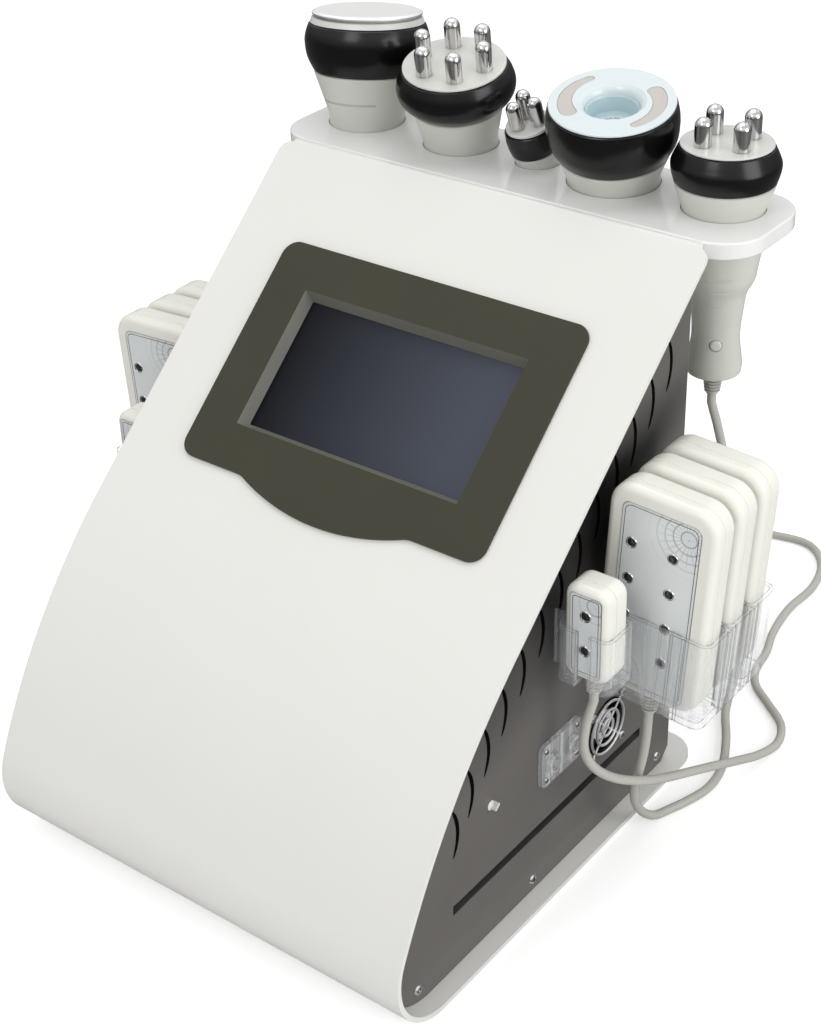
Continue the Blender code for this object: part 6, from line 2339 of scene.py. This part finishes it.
@dataclass
class Fan:
    """The fan behind the right panel: frame, rotor with a plain label, and wire guard."""

    y: float = 60.5 * MM
    z: float = 74.6 * MM
    bore: float = 18.8 * MM
    hub: float = 11 * MM
    wire: float = 0.85 * MM
    rings: tuple[float, ...] = mm(5.8, 11.6, 17.3)
    eye_span: float = 16 * MM

    def build_rotor(self) -> None:
        """Hub with a rounded cap, seven twisted blades and a blank two-colour label."""
        outer = SIZES.side_x - SIZES.panel - SIZES.gap
        low, high = outer - 7.9 * MM, outer - 0.5 * MM
        spin = at(0, self.y, self.z) @ Matrix.Rotation(math.pi / 2, 4, "Y")
        cup = lathe(eased([(2.2 * MM, high), (self.hub, high), (self.hub, low), (2.2 * MM, low)],
                          0.8 * MM, 4, closed=True), 64, closed=True)
        blades = []
        for k in range(7):
            loops = []
            for step in range(7):
                reach = self.hub - 0.6 * MM + (self.bore - 0.9 * MM - self.hub + 0.6 * MM) * step / 6
                pitch = math.radians(52 - 16 * step / 6)
                swing = math.tau * k / 7 + 0.1 * step / 6
                half = (high - low - 1 * MM) / 2
                loop = []
                for share, side in ((-1, 1), (-0.3, 1), (0.4, 1), (1, 1), (1, -1), (0.4, -1),
                                    (-0.3, -1), (-1, -1)):
                    bow = 0.6 * MM * (1 - share**2)
                    along = half * share
                    angle = swing + (along / math.tan(pitch) + bow + side * 0.35 * MM) / reach
                    loop.append(Vector((reach * math.cos(angle), reach * math.sin(angle),
                                        (low + high) / 2 + along)))
                loops.append(loop)
            blades.append(loft(loops))
        mount("fan_wheel_blades", cut(cup, blades, "UNION"), "black_plastic", "fan_wheel",
              ("fan_rotor",), spin)
        face = outer - 0.5 * MM
        for name, inner, reach, look in (("fan_label_ring", 5.2 * MM, 9.6 * MM, "clip_white"),
                                         ("fan_label_middle", 2.3 * MM, 5.1 * MM, "label_blue")):
            ring = washer(inner, reach, face + 0.06 * MM, face - 0.1 * MM)
            mount(name, ring, look, "fan_wheel", place=spin)

    def build_guard(self) -> None:
        """Three wire rings on two crossed wires, with an eye at each end."""
        x = SIZES.side_x + SIZES.gap + self.wire
        parts = [
            tube([Vector((x, self.y + a, self.z + b)) for a, b in round_loop(r, 56)], self.wire,
                 12, closed=True)
            for r in self.rings
        ]
        span = self.eye_span * math.sqrt(2)
        for k in range(4):
            angle = math.pi / 4 + k * math.pi / 2
            way = Vector((0, math.cos(angle), math.sin(angle)))
            middle = Vector((x, self.y, self.z))
            out = middle + way * (span - 2.1 * MM)
            sink = Vector((-self.wire * 0.7, 0, 0))
            path = [middle + sink + way * self.rings[-1] * s / 8 for s in range(9)]
            path += [middle + sink + way * self.rings[-1] * 1.12, out]
            parts.append(tube(path, self.wire * 0.8, 10))
            eye = [middle + way * span + Vector((0, 1.9 * MM * math.cos(t), 1.9 * MM * math.sin(t)))
                   for t in (math.tau * s / 24 for s in range(24))]
            parts.append(tube(eye, self.wire * 0.8, 10, closed=True))
        guard = cut(parts[0], parts[1:], "UNION")
        mount("wire_guard", guard, "guard_bright", "console", ("fan_guard",), crease=60)
        screws("guard_screw", 2.1 * MM, [
            at(x, self.y + span * math.cos(angle), self.z + span * math.sin(angle))
            @ OUTWARD for angle in (math.pi / 4 + k * math.pi / 2 for k in range(4))
        ])

    def build(self) -> None:
        """The whole fan."""
        self.build_rotor()
        self.build_guard()
        repaint("black_plastic", "fan_frame")


@dataclass
class Bracket:
    """The spare clear bracket: a round-cornered plate with two bosses and four screws."""

    y: float = 8.6 * MM
    z: float = 90.5 * MM
    width: float = 40 * MM
    height: float = 29 * MM
    thick: float = 2.4 * MM
    screw_inset: float = 4.4 * MM

    def build(self) -> None:
        """Plate, bosses and screws."""
        base = SIZES.side_x + SIZES.gap
        cage = plate([box_loop(self.width, self.height, 4 * MM, 8, (self.y, self.z))], base,
                     base + self.thick)
        bosses, bores = [], []
        for end in (-1, 1):
            where = at(self.y + end * self.width / 4, self.z, base)
            ring = eased([mm(0, 5.6), mm(6, 5.6), (6.6 * MM, self.thick - 0.4 * MM),
                          (0, self.thick - 0.4 * MM)], 0.5 * MM, 3)
            bosses.append(moved(lathe(ring, 48), where))
            bore = lathe([mm(0, 9), mm(4.2, 9), mm(3.8, 3.2), mm(0, 3.2)], 40)
            bores.append(moved(bore, where))
        cage = cut(cut(cage, bosses, "UNION"), bores)
        lines = moved(rim_lines(cage, 0.3 * MM), SIDEWAYS)
        mount("spare_bracket_edges", lines, "acrylic_edge", "console")
        cage = moved(ease_edges(cage, 0.4 * MM, 3, 50), SIDEWAYS)
        mount("spare_bracket", cage, "acrylic_bracket", "console",
              ("holder_bracket",), crease=35)
        across, along = self.width / 2 - self.screw_inset, self.height / 2 - self.screw_inset
        screws("bracket_screw", 1.9 * MM, [
            at(base + self.thick, self.y + right * across, self.z + up * along)
            @ OUTWARD for right, up in ((1, 1), (-1, 1), (-1, -1), (1, -1))
        ])


@dataclass
class Rear:
    """The rear panel with its sockets, screws, mains inlet and rocker."""

    pad_row: tuple[float, float, int] = (-124 * MM, 58 * MM, 8)
    tool_row: tuple[float, float, int] = (-72.5 * MM, 100 * MM, 5)
    pitch: float = 31 * MM
    inlet: tuple[float, float] = mm(-92, 255)

    def sockets(self) -> list[tuple[float, float, bool]]:
        """The sockets of both rows.

        Returns:
            Each one's x and z, and whether a cord is plugged in.
        """
        found = []
        for (x, z, count), plugged in ((self.pad_row, (0, 1)), (self.tool_row, (2,))):
            found += [(x + k * self.pitch, z, k in plugged) for k in range(count)]
        return found

    def build_panel(self) -> None:
        """The panel with a bore for each socket and the inlet's cut-out."""
        half = SIZES.side_x - SIZES.panel - SIZES.gap
        low = SIZES.sheet + SIZES.gap
        run = SIZES.flange_y - SIZES.rear_y + SIZES.panel
        top = (SIZES.height - run * math.tan(SIZES.slope)
               - (SIZES.sheet + SIZES.gap) / math.cos(SIZES.slope))
        outline = [(-half, low), (half, low), (half, top), (-half, top)]
        loops = [outline, box_loop(24.6 * MM, 54.6 * MM, 0.6 * MM, 3, self.inlet)]
        loops += [round_loop(5.2 * MM, 40, (x, z)) for x, z, _ in self.sockets()]
        cage = moved(plate(loops, -SIZES.rear_y, SIZES.panel - SIZES.rear_y), BACKWARDS)
        mount("socket_panel", cage, "grey_powder_coat", "console", ("rear_panel",))

    def build_sockets(self) -> None:
        """A nickel flange round each socket, and pins in those that are free."""
        flange = lathe(eased([mm(4.9, 1.2), mm(5.4, 1.8), mm(6.2, 1.8),
                              mm(6.5, 0.4), mm(6.5, 0), mm(4.9, 0)], 0.2 * MM, 2), 48,
                       closed=True)
        ring = shaded(flange, "socket_flange", "zinc_steel", 40)
        insert = shaded(
            lathe([mm(0, -1.2), mm(3.6, -1.2), mm(3.9, 0.6), mm(4.85, 0.6),
                   mm(4.85, -3), mm(0, -3)], 40), "socket_insert", "black_plastic", 40)
        pins = bmesh.new()
        for x, y in round_loop(2 * MM, 5) + [(0.0, 0.0)]:
            where = at(x, y, -0.4 * MM)
            bmesh.ops.create_cone(pins, cap_ends=True, segments=12, radius1=0.42 * MM,
                                  radius2=0.3 * MM, depth=1.8 * MM, matrix=where)
        pin_mesh = shaded(pins, "socket_pins", "brass_pin", 40)
        for k, (x, z, plugged) in enumerate(self.sockets()):
            if plugged:
                continue
            place = at(x, SIZES.rear_y, z) @ REARWARD
            mount(f"socket_flange_{k + 1}", ring, "", "console", place=place)
            mount(f"socket_insert_{k + 1}", insert, "", "console", place=place)
            mount(f"socket_pins_{k + 1}", pin_mesh, "", "console", place=place)

    def build_inlet(self) -> None:
        """The inlet's three blades, its screws, and the finish of the inlet and the rocker."""
        face = SIZES.rear_y + SIZES.gap + 2.5 * MM
        for k, (x, z) in enumerate(((-6.5, -13.5), (0, -10), (6.5, -13.5))):
            blade = ease_edges(box(mm(2, 12, 4.2), (0, 0, 0)), 0.4 * MM)
            place = at(self.inlet[0] + x * MM, face - 10.4 * MM,
                       self.inlet[1] + z * MM)
            mount(f"inlet_blade_{k + 1}", blade, "brass_pin", "console", place=place)
        spots = [(self.inlet[0], self.inlet[1] + s * 26 * MM, face) for s in (-1, 1)]
        spots += [(s * 128 * MM, z * MM, SIZES.rear_y) for s in (-1, 1) for z in (14, 160, 318)]
        screws("rear_screw", 1.9 * MM,
               [at(x, y, z) @ REARWARD for x, z, y in spots])
        repaint("black_plastic", "power_inlet", "power_switch")

    def build(self) -> None:
        """Everything at the back, and the finishes of what is inside."""
        self.build_panel()
        self.build_sockets()
        self.build_inlet()
        repaint("circuit_green", "main_board")
        repaint("zinc_steel", "power_supply")
        repaint("black_plastic", "vacuum_pump")


# Stage


@dataclass
class Stage:
    """Camera, lamps, world and floor."""

    eye: tuple[float, float, float] = (0.6065, -0.7140, 0.7824)
    lens: float = 67.74
    world_level: float = 0.6
    sky: tuple[float, float] = (0.15, 1.0)
    sky_rise: tuple[float, float] = (0.0, 0.55)
    floor_lift: float = 0.35
    floor_half: float = 4.0

    def build_camera(self) -> None:
        """The camera at the photograph's angle."""
        data = bpy.data.cameras.new("camera")
        data.lens, data.sensor_width, data.sensor_fit = self.lens, 36.0, "AUTO"
        camera = bpy.data.objects.new("camera", data)
        right = Vector((0.7957647, 0.6050044, -0.0269848))
        up = -Vector((0.3000526, -0.4325815, -0.8502010))
        back = -Vector((-0.5260485, 0.6684631, -0.5257662))
        turn = Matrix((right, up, back)).transposed().to_4x4()
        camera.matrix_world = Matrix.Translation(self.eye) @ turn
        bpy.context.scene.collection.objects.link(camera)
        bpy.context.scene.camera = camera

    def lamp(
        self, name: str, place: tuple[float, float, float], size: float, power: float
    ) -> None:
        """A soft square lamp turned to the machine.

        Args:
            name: Its name.
            place: Where it hangs.
            size: Side of the square.
            power: Its power in watts.
        """
        data = bpy.data.lights.new(name, "AREA")
        data.shape, data.size, data.energy = "SQUARE", size, power
        made = bpy.data.objects.new(name, data)
        made.location = place
        way = Vector((0, 0.05, 0.2)) - Vector(place)
        made.rotation_euler = way.to_track_quat("-Z", "Y").to_euler()
        bpy.context.scene.collection.objects.link(made)

    def build_world(self) -> None:
        """A world that is white to the camera and, for reflections, brightest overhead."""
        world = bpy.data.worlds.new("studio")
        bpy.context.scene.world = world
        world.use_nodes = True
        tree = Tree(world.node_tree)
        rays = tree.add("ShaderNodeLightPath").outputs
        way = tree.add("ShaderNodeTexCoord").outputs["Generated"]
        high = tree.add("ShaderNodeSeparateXYZ", {0: way}).outputs[2]
        sky = tree.span(high, *self.sky, *self.sky_rise)
        level = tree.mix(rays["Is Glossy Ray"], self.world_level, sky)
        for kind in ("Is Camera Ray", "Is Transmission Ray"):
            level = tree.mix(rays[kind], level, 1.0)
        background = world.node_tree.nodes["Background"]
        tree.feed(background.inputs[0], (1, 1, 1, 1))
        tree.feed(background.inputs[1], level)

    def build_floor(self) -> None:
        """A wide pale floor that keeps the object's shadow."""
        mesh = bpy.data.meshes.new("floor")
        corners = [(x * self.floor_half, y * self.floor_half, 0)
                   for x, y in ((-1, -1), (1, -1), (1, 1), (-1, 1))]
        mesh.from_pydata(corners, [], [(0, 1, 2, 3)])
        floor = bpy.data.objects.new("floor", mesh)
        floor.location.z = -0.2 * MM
        wiring = Wiring("studio_floor")
        wiring.set(Specular_IOR_Level=0.1, Emission_Color=(1, 1, 1, 1))
        rays = wiring.add("ShaderNodeLightPath")
        seen = wiring.tint(rays.outputs["Is Glossy Ray"], (0.97, 0.97, 0.97), (0.16, 0.16, 0.16))
        wiring.set(Base_Color=seen, Roughness=0.8)
        lift = wiring.sum("MULTIPLY", rays.outputs["Is Camera Ray"], self.floor_lift)
        wiring.set(Emission_Strength=lift)
        mesh.materials.append(wiring.material)
        bpy.context.scene.collection.objects.link(floor)

    def build(self) -> None:
        """The whole stage."""
        bpy.context.scene.view_settings.view_transform = "Standard"
        self.build_camera()
        self.build_world()
        self.build_floor()
        self.lamp("key", (0.05, -1.45, 1.6), 0.8, 7)
        self.lamp("fill", (1.75, 0.1, 0.95), 1.0, 12)
        self.lamp("overhead", (-0.3, 0.4, 2.2), 1.4, 11)


def main() -> None:
    """Dress the machine, piece by piece."""
    logging.basicConfig(level=logging.INFO, format="%(name)s: %(message)s")
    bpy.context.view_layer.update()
    Stage().build()
    for cord in CORDS:
        cord.build()
    Shell().build()
    SidePanels().build()
    Screen().build()
    Shelf().build()
    for piece in HANDPIECES:
        piece.build()
    Pads().build()
    Fan().build()
    Bracket().build()
    Rear().build()


if __name__ == "__main__":
    main()
